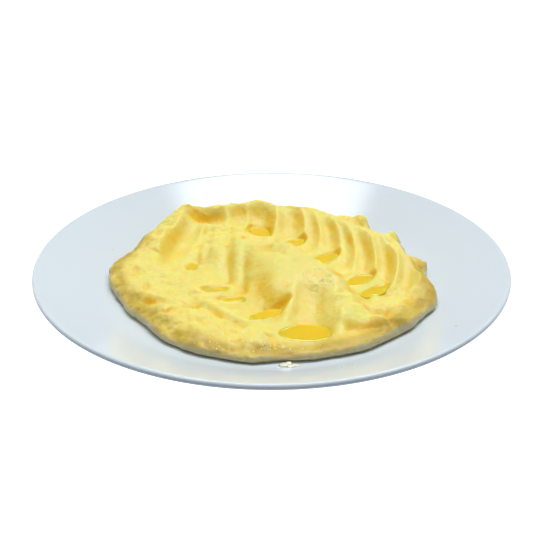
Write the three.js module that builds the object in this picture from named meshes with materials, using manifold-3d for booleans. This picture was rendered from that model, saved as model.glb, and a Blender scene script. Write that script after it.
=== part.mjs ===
// A side of buttered mashed potato on its round dinner plate.
// Millimetres, +Z up. The origin is on the plate's axis, on the table; -Y is the eater's side.
//
//   plate          glazed stoneware: flat well, straight sloping flange, rounded rim, foot ring
//   mash           one mass of potato, pressed with the back of a spoon into two rows of scoops
//   butter_pool_*  melted butter standing level in the deepest scoops

import * as THREE from 'three';
import { mergeVertices } from 'three/addons/utils/BufferGeometryUtils.js';
import Module from 'manifold-3d';

// ------------------------------------------------------------------ driving dimensions

const PLATE_RADIUS = 135;
const PLATE_HEIGHT = 22;
const RIM_THICKNESS = 3.3;
const WELL_FLOOR = 6;
const WELL_THICKNESS = 4;
const WELL_BEND_RADIUS = 92; // where the well floor and the flange would meet
const WELL_BEND_REACH = 10; // half the width of the smooth bend between them
const FLANGE_SLOPE = 0.39;
const FOOT_RADIUS = 79;
const FOOT_FLAT = 4;
const FOOT_BEVEL = 1.4;
const PLATE_SEGMENTS = 72;

const CONTACT_GAP = 0.3; // between potato and plate, and between butter and potato
const MASH_RINGS = 37;
const MASH_RING_CROWDING = 1.15; // above 1 the rings crowd towards the edge
const MASH_LIP = 2.2; // height of the widest line of the potato above the plate
const MASH_UNDERCUT = 1.8; // how far the foot lies in under the widest line
const UNDERSIDE_SHARE = 0.86; // where the underside meets the flat of the well, as a share of the outline
const MASH_EDGE_WIDTH_FRONT = 15; // width of the rounded shoulder
const MASH_EDGE_WIDTH_BACK = 12;
const MASH_EDGE_ROUNDNESS = 2.3; // exponent of the shoulder's superellipse
const RIM_LEVEL_FRONT = 15; // general level of the unpressed potato
const RIM_LEVEL_BACK = 17.5;
const PRESS_RISE = 9; // every press states the reaches at which its bowl is this high

// Plan outline of the potato: radius in mm at each heading in degrees.
const OUTLINE = [
  [0, 88], [9, 92], [20, 86], [32, 91], [40, 85], [50, 92], [61, 87], [75, 85], [90, 86], [104, 88],
  [118, 90], [128, 94], [140, 93], [152, 91], [166, 92], [178, 95], [191, 90], [204, 86.5], [220, 86.5],
  [234, 89], [248, 91], [262, 91], [271, 89], [284, 90.5], [297, 91.5], [309, 93], [321, 93], [334, 94],
  [344, 96.5], [352, 93.5],
];

const OUTLINE_RIPPLES = [[11, 0.9, 0.6], [19, 2.1, 0.45]]; // waves round the edge, phase, height

// Crest lines and the front valley: x, y and height of the points that they pass through.
const CENTRE_CREST = [
  [-52, 54, 14.5], [-42, 47, 17], [-23, 34, 21.5], [-8, 18, 25.2], [12, 3, 27.2], [28, -20, 26.4],
  [38, -35, 23], [45, -43, 18],
];
const BACK_CREST = [
  [-54, 63, 25.5], [-43, 71, 25.2], [-28, 74, 25.2], [-10, 72, 26], [6, 64, 25.5], [22, 59, 26],
  [40, 42, 26.5], [57, 20, 26.3], [68, 0, 25], [77, -12, 22.5], [86, -19, 18.5],
];
const LEFT_CREST = [
  [-54, 63, 25.5], [-58, 45, 23], [-64, 27, 21], [-70, 12, 18.3], [-67, 0, 17.2], [-57, -9, 16.5],
  [-46, -14, 16.3], [-36, -14, 16.2], [-30, -12, 15.5],
];
const FRONT_VALLEY = [
  [-53, 13, 15], [-40, 6, 14.2], [-28, -9, 13.4], [-20, -22, 13.1], [-14, -36, 13], [-5, -50, 12.8],
  [8, -61, 12.2], [20, -71, 11.8], [34, -71, 13], [48, -67, 15], [62, -62, 18],
];
const CREST_DROP_BACK = 0.9; // slope behind the central crest
const CREST_DROP_FRONT = 12; // fall in front of the central crest, in mm at CREST_REACH_FRONT
const CREST_REACH_FRONT = 50;
const BACK_CREST_CURVE = 20; // radius of curvature across the back crest
const LEFT_CREST_CURVE = 36;
const VALLEY_FACE_SLOPE = 0.62; // slope of the face that climbs from the valley to the central crest
const VALLEY_BANK_CURVE = 40; // radius of curvature of the gentle bank on its near side

// Spoon presses: deepest point, heading in degrees of the wall that the spoon pushed up, reaches
// along and across that heading, and sideways bend of the bowl's axis.
const press = (x, y, z, heading, near, far, half, bend = 0) =>
  ({ x, y, z, heading, near, far, half, bend });

const BACK_ROW = [
  press(-38, 62, 14.8, 92, 9, 9, 15),
  press(-20, 59, 16.0, 95, 9, 16, 13),
  press(-9.5, 51, 13.4, 80, 9, 23, 12.5, 0.006),
  press(8.5, 37, 13.8, 66, 9, 28, 12.5, 0.012),
  press(19, 24, 14.9, 58, 9, 30, 12, 0.016),
  press(28, 11, 13.6, 52, 9, 33, 12.5, 0.018),
  press(37, -1, 14.9, 52, 9, 34, 12, 0.018),
  press(46, -16, 13.6, 50, 9, 34, 12.5, 0.018),
  press(57, -24, 13.8, 48, 9, 32, 11.5, 0.018),
  press(71, -27, 14.8, 52, 9, 26, 10, 0.018),
];
const FRONT_PRESSES = [
  press(-59, 14, 12.6, 73, 20, 50, 10.5),
  press(-31, -20, 12.4, 165, 12, 9, 7),
  press(-22, -29, 12.4, 172, 11, 9, 6),
];

// Flat-floored bowls: middle and height of the oval floor, heading in degrees of its long axis,
// its half length and half width, and the slopes of the walls ahead, left, behind and right.
const FRONT_BOWLS = [
  {
    x: -4, y: -48.5, z: 11.4, heading: 33, halfLength: 9.5, halfWidth: 1.8,
    ahead: 0.85, left: 0.54, behind: 0.5, right: 0.36,
  },
  {
    x: 17, y: -66.5, z: 10.9, heading: 0, halfLength: 11.5, halfWidth: 5,
    ahead: 0.8, left: 0.34, behind: 0.45, right: 0.34,
  },
];
const BOWL_FOOT_CURVE = 1.4; // rounding between a bowl's floor and its walls

// Strokes: plan points with the stroke's strength at each, height (negative for a groove), width.
const FLUTES = [
  { path: [[-43.8, 12, 1], [-44, 31, 1], [-44, 46, 0.2]], height: -2.2, width: 3.4 },
  { path: [[-37.5, 14, 0.8], [-37.5, 30, 1], [-38, 43, 0.2]], height: -1.7, width: 2.6 },
  { path: [[-24.5, -9, 1], [-25.8, 22, 1], [-23.6, 44, 0.2]], height: -2.1, width: 3.8 },
  { path: [[-16, -22, 1], [-15.5, 9, 1], [-15, 34, 0.2]], height: -1.6, width: 3.2 },
  { path: [[-4, -44, 0.8], [-6, -34, 1], [-8, -22, 0.7], [-9, -12, 0]], height: -2.1, width: 6.5 },
  { path: [[22, -58, 0.8], [24, -46, 1], [25, -34, 0.7], [25, -26, 0]], height: -2.6, width: 7.5 },
];
const FOLDS = [
  { path: [[14.6, -22, 0.3], [11.7, -35, 1], [10.3, -46, 1], [6.8, -57, 0.5]], height: 1.5, width: 3 },
  { path: [[36, -42, 0.6], [37.5, -54, 1], [36, -66, 0.4]], height: 1.3, width: 3.2 },
  {
    path: [[-56, -50, 1], [-47, -42, 1], [-37, -43, 1], [-27, -53, 1], [-16, -61, 1]],
    height: -2.6,
    width: 3.4,
  },
  {
    path: [[-60, -47, 1], [-50, -37, 1], [-36, -37, 1], [-23, -49, 1], [-9, -58, 1]],
    height: 1.3,
    width: 4,
  },
  { path: [[-54, -57, 1], [-44, -54, 1], [-34, -56, 1]], height: 1.2, width: 3.2 },
  { path: [[-74, -31, 1], [-64, -38, 1], [-54, -38, 1]], height: -2.2, width: 3.2 },
  { path: [[-70, -27, 1], [-63, -31, 1], [-57, -35, 1]], height: 1.2, width: 3.6 },
  { path: [[-1, -70, 1], [2, -80, 1], [4, -92, 1]], height: -2.2, width: 2.2 },
  { path: [[50, -52, 1], [60, -53, 1]], height: -2.4, width: 4 },
  { path: [[42, -66, 1], [56, -65, 1]], height: -2.2, width: 3.6 },
  { path: [[56, -59, 1], [72, -59, 1]], height: 1.8, width: 3.6 },
  { path: [[44, -42, 1], [55, -44, 1], [68, -45, 1]], height: 1.7, width: 3.5 },
];

// Single lumps (and, with a negative height, pits): x, y, height and radius.
const LUMPS = [
  [-51, 74, 1.2, 6], [-76, 44, 2.5, 8], [77, 52, 5.5, 4.5], [82, 42, 4, 5], [91, 12, 4.5, 3],
  [58, 66, 4.5, 6], [46, 70, 4, 6], [-10, 77, 2, 7], [27, 71, 2.4, 6], [75, -47, 1.6, 5],
  [38, -38, -2.4, 3.6], [1, 3, -1.6, 4], [-54, -27, -1, 3], [-46, -27, -0.8, 2.6],
];

// General unevenness: sine waves, each shorter than the last and turned by the golden angle.
const WAVE_COUNT = 7;
const WAVE_LENGTH = 44;
const WAVE_RATIO = 0.72;
const WAVE_STEEPNESS = 0.011;
const GOLDEN_ANGLE = 2.39996;
const WAVE_TURN = 0.7; // heading of the first wave, in radians
const WAVE_PHASE = [1.7, 0.4];
const WAVE_SWAY = 1.3; // how far, in radians, a wave's crests wander sideways
const WAVE_SWAY_RATIO = 1.7;
const UNEVEN_PRESSED = 0.25; // share of the unevenness where the spoon has pressed
const UNEVEN_ADDED = 1.5; // and what is added to it away from the presses

// Rounding, in mm, of the corners where surfaces meet.
const BLEND = { scoops: 0.8, crests: 1.5, hump: 4, cut: 4, presses: 2, pressEdge: 2.4, bowls: 1 };
const CREST_ROUNDING = 3; // roundness of the central crest's top
const CREST_FRONT_LIMIT = 60; // past this distance the fall before the crest stays the same
const FACE_FOOT_ROUNDING = 4;
const BACKNESS = { from: -30, to: 50, turn: 0.15 }; // where the mass passes from front to back
const FRONT_DROP = { from: -60, to: -90 }; // where the level drops 1 mm towards the diner
const UNPRESSED = { from: -1, to: 4 }; // height of the presses above the mass, from none to free

// Pools of butter, each in an oval seat: middle, level, heading in degrees of the long axis, half
// length and half width.
const pool = (x, y, level, heading, halfLength, halfWidth) =>
  ({ x, y, level, heading, halfLength, halfWidth });

const POOLS = [
  pool(-8, 53, 14.9, -62, 8.5, 5.5),
  pool(13.5, 37, 15.0, 42, 7, 4.5),
  pool(31, 15.5, 15.1, 46, 9.5, 4.8),
  pool(50, -12.5, 15.1, 40, 9.5, 4.4),
  pool(57.5, -24.5, 15.1, 42, 9.5, 4.3),
  pool(-46.5, 6, 14.0, 80, 4, 3.2),
  pool(-31, -20.5, 13.0, 18, 8, 3.4),
  pool(-23, -31.5, 13.0, 6, 7.5, 3.0),
  pool(-3.5, -49, 12.4, 35, 10.5, 3.6),
  pool(17.5, -67.5, 12.0, -3, 14, 8.2),
];
const POOL_DEPTH = 1.3;
const POOL_SHORE_SLOPE = 0.6; // slope of the seat where the butter ends
const POOL_SHORE_CURVE = 0.35; // how fast the seat steepens outside, per mm
const POOL_BANK_HEIGHT = 0.3; // least height of the potato above the level, round the pool
const POOL_BANK_REACH = 0.9;
const POOL_BANK_FALL = 0.09; // how fast the bank falls past its reach, per mm
const POOL_BLEND = 1;
const POOL_COLUMN_MARGIN = 1; // how far the column that a pool is cut from passes its seat
const POOL_SEGMENTS = 28;

// ------------------------------------------------------------------ small helpers

const clamp01 = (value) => Math.min(1, Math.max(0, value));
const radians = (degrees) => (degrees * Math.PI) / 180;

function smoothStep(from, to, value) {
  const t = clamp01((value - from) / (to - from));
  return t * t * (3 - 2 * t);
}

// The lower of two heights, with the corner between them rounded over `blend` millimetres.
function softMin(a, b, blend) {
  const t = clamp01(0.5 + (0.5 * (b - a)) / blend);
  return b * (1 - t) + a * t - blend * t * (1 - t);
}

const softMax = (a, b, blend) => -softMin(-a, -b, blend);

// A Catmull-Rom curve through plan points with heights, as short straight steps.
function curveThrough(points, steps) {
  const first = points[0];
  const last = points[points.length - 1];
  const reflect = (end, next) => end.map((value, axis) => 2 * value - next[axis]);
  const all = [reflect(first, points[1]), ...points, reflect(last, points[points.length - 2])];
  const curve = [];
  for (let i = 1; i < all.length - 2; i += 1) {
    for (let j = 0; j < steps; j += 1) {
      const t = j / steps;
      curve.push(first.map((_, axis) => {
        const [a, b, c, d] = [all[i - 1][axis], all[i][axis], all[i + 1][axis], all[i + 2][axis]];
        return b + 0.5 * t * (c - a + t * (2 * a - 5 * b + 4 * c - d + t * (3 * (b - c) + d - a)));
      }));
    }
  }
  curve.push(last);
  return curve;
}

// Distance from a plan point to a curve, the side it is on (1 to the left of the curve's
// direction) and the curve's height at the nearest place.
function nearestOn(curve, x, y) {
  let best = { square: Infinity, side: 0, height: 0 };
  for (let i = 0; i + 1 < curve.length; i += 1) {
    const [x0, y0, z0 = 0] = curve[i];
    const [x1, y1, z1 = 0] = curve[i + 1];
    const dx = x1 - x0;
    const dy = y1 - y0;
    const t = clamp01(((x - x0) * dx + (y - y0) * dy) / (dx * dx + dy * dy));
    const offX = x - x0 - t * dx;
    const offY = y - y0 - t * dy;
    const square = offX * offX + offY * offY;
    if (square < best.square) {
      best = { square, side: Math.sign(dx * offY - dy * offX), height: z0 + t * (z1 - z0) };
    }
  }
  return { distance: Math.sqrt(best.square), side: best.side, height: best.height };
}

// ------------------------------------------------------------------ the plate

// Height of the plate's upper surface: flat well, parabolic bend, straight flange.
function plateTop(radius) {
  const past = radius - WELL_BEND_RADIUS;
  if (past <= -WELL_BEND_REACH) return WELL_FLOOR;
  if (past >= WELL_BEND_REACH) return WELL_FLOOR + FLANGE_SLOPE * past;
  return WELL_FLOOR + (FLANGE_SLOPE * (past + WELL_BEND_REACH) ** 2) / (4 * WELL_BEND_REACH);
}

function plateGeometry() {
  const edge = RIM_THICKNESS / 2;
  const edgeRadius = PLATE_RADIUS - edge;
  const edgeHeight = PLATE_HEIGHT - edge;
  const tilt = Math.atan(FLANGE_SLOPE);
  const footIn = FOOT_RADIUS - FOOT_FLAT / 2;
  const footOut = FOOT_RADIUS + FOOT_FLAT / 2;
  const underside = WELL_FLOOR - WELL_THICKNESS;
  const bendStart = WELL_BEND_RADIUS - WELL_BEND_REACH;
  const profile = [
    [0, underside],
    [footIn - 2 * FOOT_BEVEL, underside],
    [footIn - FOOT_BEVEL, underside * 0.6],
    [footIn, 0],
    [footOut, 0],
    [footOut + FOOT_BEVEL, underside * 0.6],
    [footOut + 2 * FOOT_BEVEL, underside + 0.1],
  ];
  for (let step = 1; step <= 4; step += 1) {
    const radius = bendStart + (2 * WELL_BEND_REACH * (step + 1)) / 5;
    profile.push([radius, plateTop(radius) - WELL_THICKNESS]);
  }
  for (let step = 0; step <= 6; step += 1) {
    const angle = -Math.PI / 2 + tilt + (Math.PI * step) / 6;
    profile.push([edgeRadius + edge * Math.cos(angle), edgeHeight + edge * Math.sin(angle)]);
  }
  for (let step = 5; step >= 0; step -= 1) {
    const radius = bendStart + (2 * WELL_BEND_REACH * step) / 5;
    profile.push([radius, plateTop(radius)]);
  }
  profile.push([0, WELL_FLOOR]);
  const points = profile.map(([radius, height]) => new THREE.Vector2(radius, height));
  const geometry = new THREE.LatheGeometry(points, PLATE_SEGMENTS);
  geometry.rotateX(Math.PI / 2);
  return geometry;
}

// ------------------------------------------------------------------ the potato's surface

const curves = {
  centre: curveThrough(CENTRE_CREST, 4),
  back: curveThrough(BACK_CREST, 4),
  left: curveThrough(LEFT_CREST, 4),
  valley: curveThrough(FRONT_VALLEY, 4),
};
const strokes = [...FLUTES, ...FOLDS]
  .map((stroke) => ({ ...stroke, path: curveThrough(stroke.path, 3) }));

// Radius of the potato's widest line at a heading in degrees: a closed cubic through OUTLINE,
// with a small ripple.
function outlineRadius(heading) {
  const count = OUTLINE.length;
  const angle = ((heading % 360) + 360) % 360;
  const turned = (index) => {
    const turns = Math.floor(index / count);
    const [at, radius] = OUTLINE[index - turns * count];
    return [at + 360 * turns, radius];
  };
  let index = count - 1;
  while (index > 0 && OUTLINE[index][0] > angle) index -= 1;
  const [before, start, end, after] = [-1, 0, 1, 2].map((offset) => turned(index + offset));
  const span = end[0] - start[0];
  const t = (angle - start[0]) / span;
  const startSlope = ((end[1] - before[1]) / (end[0] - before[0])) * span;
  const endSlope = ((after[1] - start[1]) / (after[0] - start[0])) * span;
  const bend = t * t * (3 - 2 * t);
  const ripple = OUTLINE_RIPPLES
    .reduce((sum, [waves, phase, height]) => sum + height * Math.sin(waves * radians(angle) + phase), 0);
  return start[1] * (1 - bend) + end[1] * bend + ripple
    + startSlope * t * (1 - t) ** 2 - endSlope * t * t * (1 - t);
}

// Height of the bowl that one press of the spoon leaves.
function pressHeight(scoop, x, y) {
  const along = Math.cos(radians(scoop.heading));
  const across = Math.sin(radians(scoop.heading));
  const t = (x - scoop.x) * along + (y - scoop.y) * across;
  const bent = -(x - scoop.x) * across + (y - scoop.y) * along - scoop.bend * t * Math.abs(t);
  const reach = t < 0 ? scoop.near : scoop.far;
  return scoop.z + PRESS_RISE * ((t / reach) ** 2 + (bent / scoop.half) ** 2);
}

const lowestPress = (row, x, y, blend) => row
  .map((scoop) => pressHeight(scoop, x, y))
  .reduce((lowest, height) => softMin(lowest, height, blend));

// Height of a flat-floored bowl; its walls' slopes pass into each other round the floor.
function bowlHeight(bowl, x, y) {
  const along = Math.cos(radians(bowl.heading));
  const across = Math.sin(radians(bowl.heading));
  const t = (x - bowl.x) * along + (y - bowl.y) * across;
  const s = -(x - bowl.x) * across + (y - bowl.y) * along;
  const reach = Math.max(Math.hypot(t, s), 1e-6);
  const outside = reach * Math.max(1 - 1 / Math.hypot(t / bowl.halfLength, s / bowl.halfWidth), 0);
  const lengthwise = (t > 0 ? bowl.ahead : bowl.behind) * (t / reach) ** 2;
  const sideways = (s > 0 ? bowl.left : bowl.right) * (s / reach) ** 2;
  return bowl.z + (lengthwise + sideways) * (Math.hypot(outside, BOWL_FOOT_CURVE) - BOWL_FOOT_CURVE);
}

// The seat of a pool: the bank raises what lies too low round it and the dent lowers what is in it.
function poolSeat(top, place, x, y) {
  const along = Math.cos(radians(place.heading));
  const across = Math.sin(radians(place.heading));
  const t = ((x - place.x) * along + (y - place.y) * across) / place.halfLength;
  const s = (-(x - place.x) * across + (y - place.y) * along) / place.halfWidth;
  const reach = Math.max(Math.hypot(t, s), 1e-6);
  const outside = ((reach - 1) * reach) / Math.hypot(t / place.halfLength, s / place.halfWidth);
  const past = Math.max(outside - POOL_BANK_REACH, 0);
  const bank = place.level + POOL_BANK_HEIGHT - POOL_BANK_FALL * past ** 2;
  const shore = POOL_SHORE_SLOPE * outside + POOL_SHORE_CURVE * Math.max(outside, 0) ** 2;
  const dent = place.level + Math.max(shore, -POOL_DEPTH);
  return softMin(softMax(top, bank, POOL_BLEND), dent, POOL_BLEND);
}

function unevenness(x, y) {
  let height = 0;
  let length = WAVE_LENGTH;
  for (let i = 0; i < WAVE_COUNT; i += 1) {
    const turn = GOLDEN_ANGLE * i + WAVE_TURN;
    const phase = WAVE_PHASE[0] * i * i + WAVE_PHASE[1] * i;
    const u = x * Math.cos(turn) + y * Math.sin(turn);
    const v = y * Math.cos(turn) - x * Math.sin(turn);
    const sway = WAVE_SWAY * Math.sin((2 * Math.PI * v) / (WAVE_SWAY_RATIO * length) + phase);
    height += WAVE_STEEPNESS * length * Math.sin((2 * Math.PI * u) / length + phase + sway);
    length *= WAVE_RATIO;
  }
  return height;
}

// The mass of potato before the spoon: the general level with its three crests.
function unpressedHeight(x, y, backness) {
  const frontDrop = smoothStep(FRONT_DROP.from, FRONT_DROP.to, y);
  const level = RIM_LEVEL_FRONT + (RIM_LEVEL_BACK - RIM_LEVEL_FRONT) * backness - frontDrop;
  const centre = nearestOn(curves.centre, x, y);
  const behind = CREST_DROP_BACK * (Math.hypot(centre.distance, CREST_ROUNDING) - CREST_ROUNDING);
  const ahead = Math.min(centre.distance, CREST_FRONT_LIMIT);
  const before = CREST_DROP_FRONT * (ahead / CREST_REACH_FRONT) ** 3;
  const hump = centre.height - (centre.side > 0 ? behind : before);
  const back = nearestOn(curves.back, x, y);
  const backRim = back.height - back.distance ** 2 / (2 * BACK_CREST_CURVE);
  const left = nearestOn(curves.left, x, y);
  const leftRim = left.height - left.distance ** 2 / (2 * LEFT_CREST_CURVE);
  const rims = softMax(backRim, leftRim, BLEND.crests);
  return softMax(softMax(level, hump, BLEND.hump), rims, BLEND.crests);
}

// Height of the potato's upper surface at a plan point inside its outline.
function mashTop(x, y) {
  const radius = Math.hypot(x, y);
  const inside = outlineRadius((Math.atan2(y, x) * 180) / Math.PI) - radius;
  const backness = smoothStep(BACKNESS.from, BACKNESS.to, y + BACKNESS.turn * x);
  const valley = nearestOn(curves.valley, x, y);
  const face = VALLEY_FACE_SLOPE * (Math.hypot(valley.distance, FACE_FOOT_ROUNDING) - FACE_FOOT_ROUNDING);
  const bank = valley.distance ** 2 / (2 * VALLEY_BANK_CURVE);
  const backCut = lowestPress(BACK_ROW, x, y, BLEND.scoops);
  const cut = softMin(valley.height + (valley.side > 0 ? face : bank), backCut, BLEND.scoops);
  const presses = lowestPress(FRONT_PRESSES, x, y, BLEND.presses);
  const bowls = softMin(...FRONT_BOWLS.map((bowl) => bowlHeight(bowl, x, y)), BLEND.bowls);
  let top = unpressedHeight(x, y, backness);
  const unpressed = smoothStep(UNPRESSED.from, UNPRESSED.to, Math.min(cut, presses, bowls) - top);
  top = softMin(softMin(softMin(top, cut, BLEND.cut), presses, BLEND.pressEdge), bowls, BLEND.cut);
  for (const place of POOLS) top = poolSeat(top, place, x, y);
  for (const stroke of strokes) {
    const { distance, height: strength } = nearestOn(stroke.path, x, y);
    top += stroke.height * strength * Math.exp(-((distance / stroke.width) ** 2));
  }
  for (const [lumpX, lumpY, height, size] of LUMPS) {
    top += height * Math.exp(-((x - lumpX) ** 2 + (y - lumpY) ** 2) / size ** 2);
  }
  top += unevenness(x, y) * (UNEVEN_PRESSED + UNEVEN_ADDED * unpressed);
  const width = MASH_EDGE_WIDTH_FRONT + (MASH_EDGE_WIDTH_BACK - MASH_EDGE_WIDTH_FRONT) * backness;
  const outwards = 1 - clamp01(inside / width);
  const shoulder = (1 - outwards ** MASH_EDGE_ROUNDNESS) ** (1 / MASH_EDGE_ROUNDNESS);
  return plateTop(radius) + MASH_LIP + (top - WELL_FLOOR - MASH_LIP) * shoulder;
}

// ------------------------------------------------------------------ the potato's solid

// Rings of 6, 12, 18 ... points from the centre to the outline, then the undercut foot and the
// underside, which follows the plate at the contact gap.
function mashGeometry() {
  const vertices = [];
  const triangles = [];
  const addRing = (count, place) => {
    const start = vertices.length / 3;
    for (let i = 0; i < count; i += 1) {
      vertices.push(...place((2 * Math.PI * i) / count));
    }
    return start;
  };
  const edgeAt = (angle) => outlineRadius((angle * 180) / Math.PI);
  const topPoint = (fraction) => (angle) => {
    const x = edgeAt(angle) * fraction * Math.cos(angle);
    const y = edgeAt(angle) * fraction * Math.sin(angle);
    return [x, y, mashTop(x, y)];
  };
  const underPoint = (fraction, inset) => (angle) => {
    const radius = edgeAt(angle) * fraction - inset;
    return [radius * Math.cos(angle), radius * Math.sin(angle), plateTop(radius) + CONTACT_GAP];
  };
  vertices.push(0, 0, mashTop(0, 0));
  let inner = 0;
  for (let ring = 1; ring <= MASH_RINGS; ring += 1) {
    const fraction = 1 - (1 - ring / MASH_RINGS) ** MASH_RING_CROWDING;
    const outer = addRing(6 * ring, topPoint(fraction));
    const innerCount = Math.max(1, 6 * (ring - 1));
    for (let side = 0; side < 6; side += 1) {
      for (let i = 0; i < ring; i += 1) {
        const a = outer + side * ring + i;
        const b = outer + ((side * ring + i + 1) % (6 * ring));
        const c = inner + ((side * (ring - 1) + i) % innerCount);
        triangles.push(a, b, c);
        if (i > 0) triangles.push(a, c, inner + ((side * (ring - 1) + i - 1) % innerCount));
      }
    }
    inner = outer;
  }
  const count = 6 * MASH_RINGS;
  const foot = addRing(count, underPoint(1, MASH_UNDERCUT));
  const under = addRing(count, underPoint(UNDERSIDE_SHARE, 0));
  const centre = vertices.length / 3;
  vertices.push(0, 0, WELL_FLOOR + CONTACT_GAP);
  for (let i = 0; i < count; i += 1) {
    const next = (i + 1) % count;
    triangles.push(inner + next, inner + i, foot + i, inner + next, foot + i, foot + next);
    triangles.push(foot + next, foot + i, under + i, foot + next, under + i, under + next);
    triangles.push(under + next, under + i, centre);
  }
  const geometry = new THREE.BufferGeometry();
  geometry.setAttribute('position', new THREE.Float32BufferAttribute(vertices, 3));
  geometry.setIndex(triangles);
  return geometry;
}

// ------------------------------------------------------------------ the pools of butter

const wasm = await Module();
wasm.setup();

function toSolid(source) {
  const bare = source.clone();
  bare.deleteAttribute('normal');
  bare.deleteAttribute('uv');
  const merged = mergeVertices(bare, 1e-4);
  return new wasm.Manifold(new wasm.Mesh({
    numProp: 3,
    vertProperties: new Float32Array(merged.attributes.position.array),
    triVerts: new Uint32Array(merged.index.array),
  }));
}

function toGeometry(solid) {
  const { vertProperties, triVerts } = solid.getMesh();
  const geometry = new THREE.BufferGeometry();
  geometry.setAttribute('position', new THREE.Float32BufferAttribute(vertProperties, 3));
  geometry.setIndex([...triVerts]);
  return geometry;
}

// A column of butter up to its level, less the potato that it stands on.
function poolGeometry({ x, y, level, heading, halfLength, halfWidth }, liftedMash) {
  const depth = level - WELL_FLOOR - 2 * CONTACT_GAP;
  const column = new THREE.CylinderGeometry(1, 1, depth, POOL_SEGMENTS);
  column.rotateX(Math.PI / 2);
  column.scale(halfLength + POOL_COLUMN_MARGIN, halfWidth + POOL_COLUMN_MARGIN, 1);
  column.rotateZ(radians(heading));
  column.translate(x, y, level - depth / 2);
  const pieces = toSolid(column).subtract(liftedMash).decompose();
  pieces.sort((a, b) => b.volume() - a.volume());
  return toGeometry(pieces[0]);
}

// ------------------------------------------------------------------ the assembly

const glazedStoneware = new THREE.MeshStandardMaterial({ color: 0xe6ecf1, roughness: 0.12, metalness: 0 });
const mashedPotato = new THREE.MeshStandardMaterial({ color: 0xf2dc7a, roughness: 0.45, metalness: 0 });
const meltedButter = new THREE.MeshStandardMaterial({ color: 0xffc21a, roughness: 0.08, metalness: 0 });

const group = new THREE.Group();

function addPart(name, geometry, material) {
  const mesh = new THREE.Mesh(geometry, material);
  mesh.name = name;
  group.add(mesh);
}

const mash = mashGeometry();
const lifted = mash.clone().translate(0, 0, CONTACT_GAP);
const liftedMash = toSolid(lifted);

addPart('plate', plateGeometry(), glazedStoneware);
addPart('mash', mash, mashedPotato);
POOLS.forEach((place, index) => {
  addPart(`butter_pool_${index + 1}`, poolGeometry(place, liftedMash), meltedButter.clone());
});

export default group;
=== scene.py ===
"""A side of buttered mashed potato on its round dinner plate.

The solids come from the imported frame. This script gives each of them its fine surface and its
finish, adds the grains and crumbs that are too small for solids, and sets up the studio.
Sizes are in millimetres, in the frame's own axes: +Z up, the origin under the middle of the
plate, -Y the eater's side. Meshes are written in metres.
"""

import logging
import math
from collections.abc import Sequence
from dataclasses import dataclass, field
from enum import Enum
from typing import Any

import bpy
import numpy as np
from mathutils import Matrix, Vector
from mathutils.bvhtree import BVHTree


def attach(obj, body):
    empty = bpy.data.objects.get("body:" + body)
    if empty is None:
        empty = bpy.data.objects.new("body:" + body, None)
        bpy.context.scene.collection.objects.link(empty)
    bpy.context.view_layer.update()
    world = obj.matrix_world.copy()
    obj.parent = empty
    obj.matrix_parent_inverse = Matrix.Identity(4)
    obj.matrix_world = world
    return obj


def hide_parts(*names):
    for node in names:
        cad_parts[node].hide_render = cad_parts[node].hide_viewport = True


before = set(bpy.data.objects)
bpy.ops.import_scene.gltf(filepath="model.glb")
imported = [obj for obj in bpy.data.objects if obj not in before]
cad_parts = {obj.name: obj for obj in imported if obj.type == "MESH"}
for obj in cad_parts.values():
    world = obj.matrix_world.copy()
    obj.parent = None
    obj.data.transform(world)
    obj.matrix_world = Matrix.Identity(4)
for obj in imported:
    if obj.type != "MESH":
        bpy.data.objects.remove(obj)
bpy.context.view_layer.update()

MM = 0.001
TINY = 1e-6  # the least length, share or area that is divided by
BODY = "root"
LOG = logging.getLogger("mashed_potato")

Array = np.ndarray


class Slot(Enum):
    """The record's material slots."""

    STONEWARE = "glazed_stoneware"
    POTATO = "mashed_potato"
    BUTTER = "melted_butter"


class Zone(Enum):
    """Point attributes that say where a finish changes, on the potato and on the pools."""

    BUTTERED = "buttered"
    # Where butter gathers, and the pools' depth; on the potato also painted shade of steep faces and
    # dips.
    HOLLOW_AND_SHADE = "hollow_and_shade"
    WET = "wet"
    GRAINY = "grainy"
    # Painted shade: the front foot darkened to olive.
    HEM_SHADE = "hem_shade"


# ------------------------------------------------------------------ small helpers


def linear(hex_colour: str) -> tuple[float, float, float, float]:
    """Turns an sRGB hex colour into linear RGBA.

    Args:
        hex_colour: Six hex digits, such as "f2dc7a".

    Returns:
        Red, green, blue and an alpha of 1.
    """
    channels = [int(hex_colour[i : i + 2], 16) / 255 for i in (0, 2, 4)]
    decoded = [c / 12.92 if c <= 0.04045 else ((c + 0.055) / 1.055) ** 2.4 for c in channels]
    return (*decoded, 1.0)


def add_node(
    tree: bpy.types.NodeTree,
    kind: str,
    settings: dict[str, Any] | None = None,
    values: dict[Any, Any] | None = None,
    links: dict[Any, bpy.types.NodeSocket] | None = None,
) -> bpy.types.Node:
    """Adds one node with its settings and links.

    Args:
        tree: The node tree to add to.
        kind: The node's type name.
        settings: Properties of the node itself.
        values: Unlinked inputs, by name or index.
        links: The sockets that feed its inputs, by name or index.

    Returns:
        The new node.
    """
    node = tree.nodes.new(kind)
    for name, value in (settings or {}).items():
        setattr(node, name, value)
    for socket, value in (values or {}).items():
        node.inputs[socket].default_value = value
    for socket, source in (links or {}).items():
        tree.links.new(source, node.inputs[socket])
    return node


def new_material(name: str) -> tuple[bpy.types.Material, bpy.types.NodeTree]:
    """Makes an empty node material.

    Args:
        name: The material's name.

    Returns:
        The material and its node tree.
    """
    material = bpy.data.materials.new(name)
    material.use_nodes = True
    material.node_tree.nodes.clear()
    return material, material.node_tree


def smooth_step(start: float, end: float, value: Array) -> Array:
    """Rises smoothly from 0 at start to 1 at end."""
    t = np.clip((value - start) / (end - start), 0, 1)
    return t * t * (3 - 2 * t)


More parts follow.
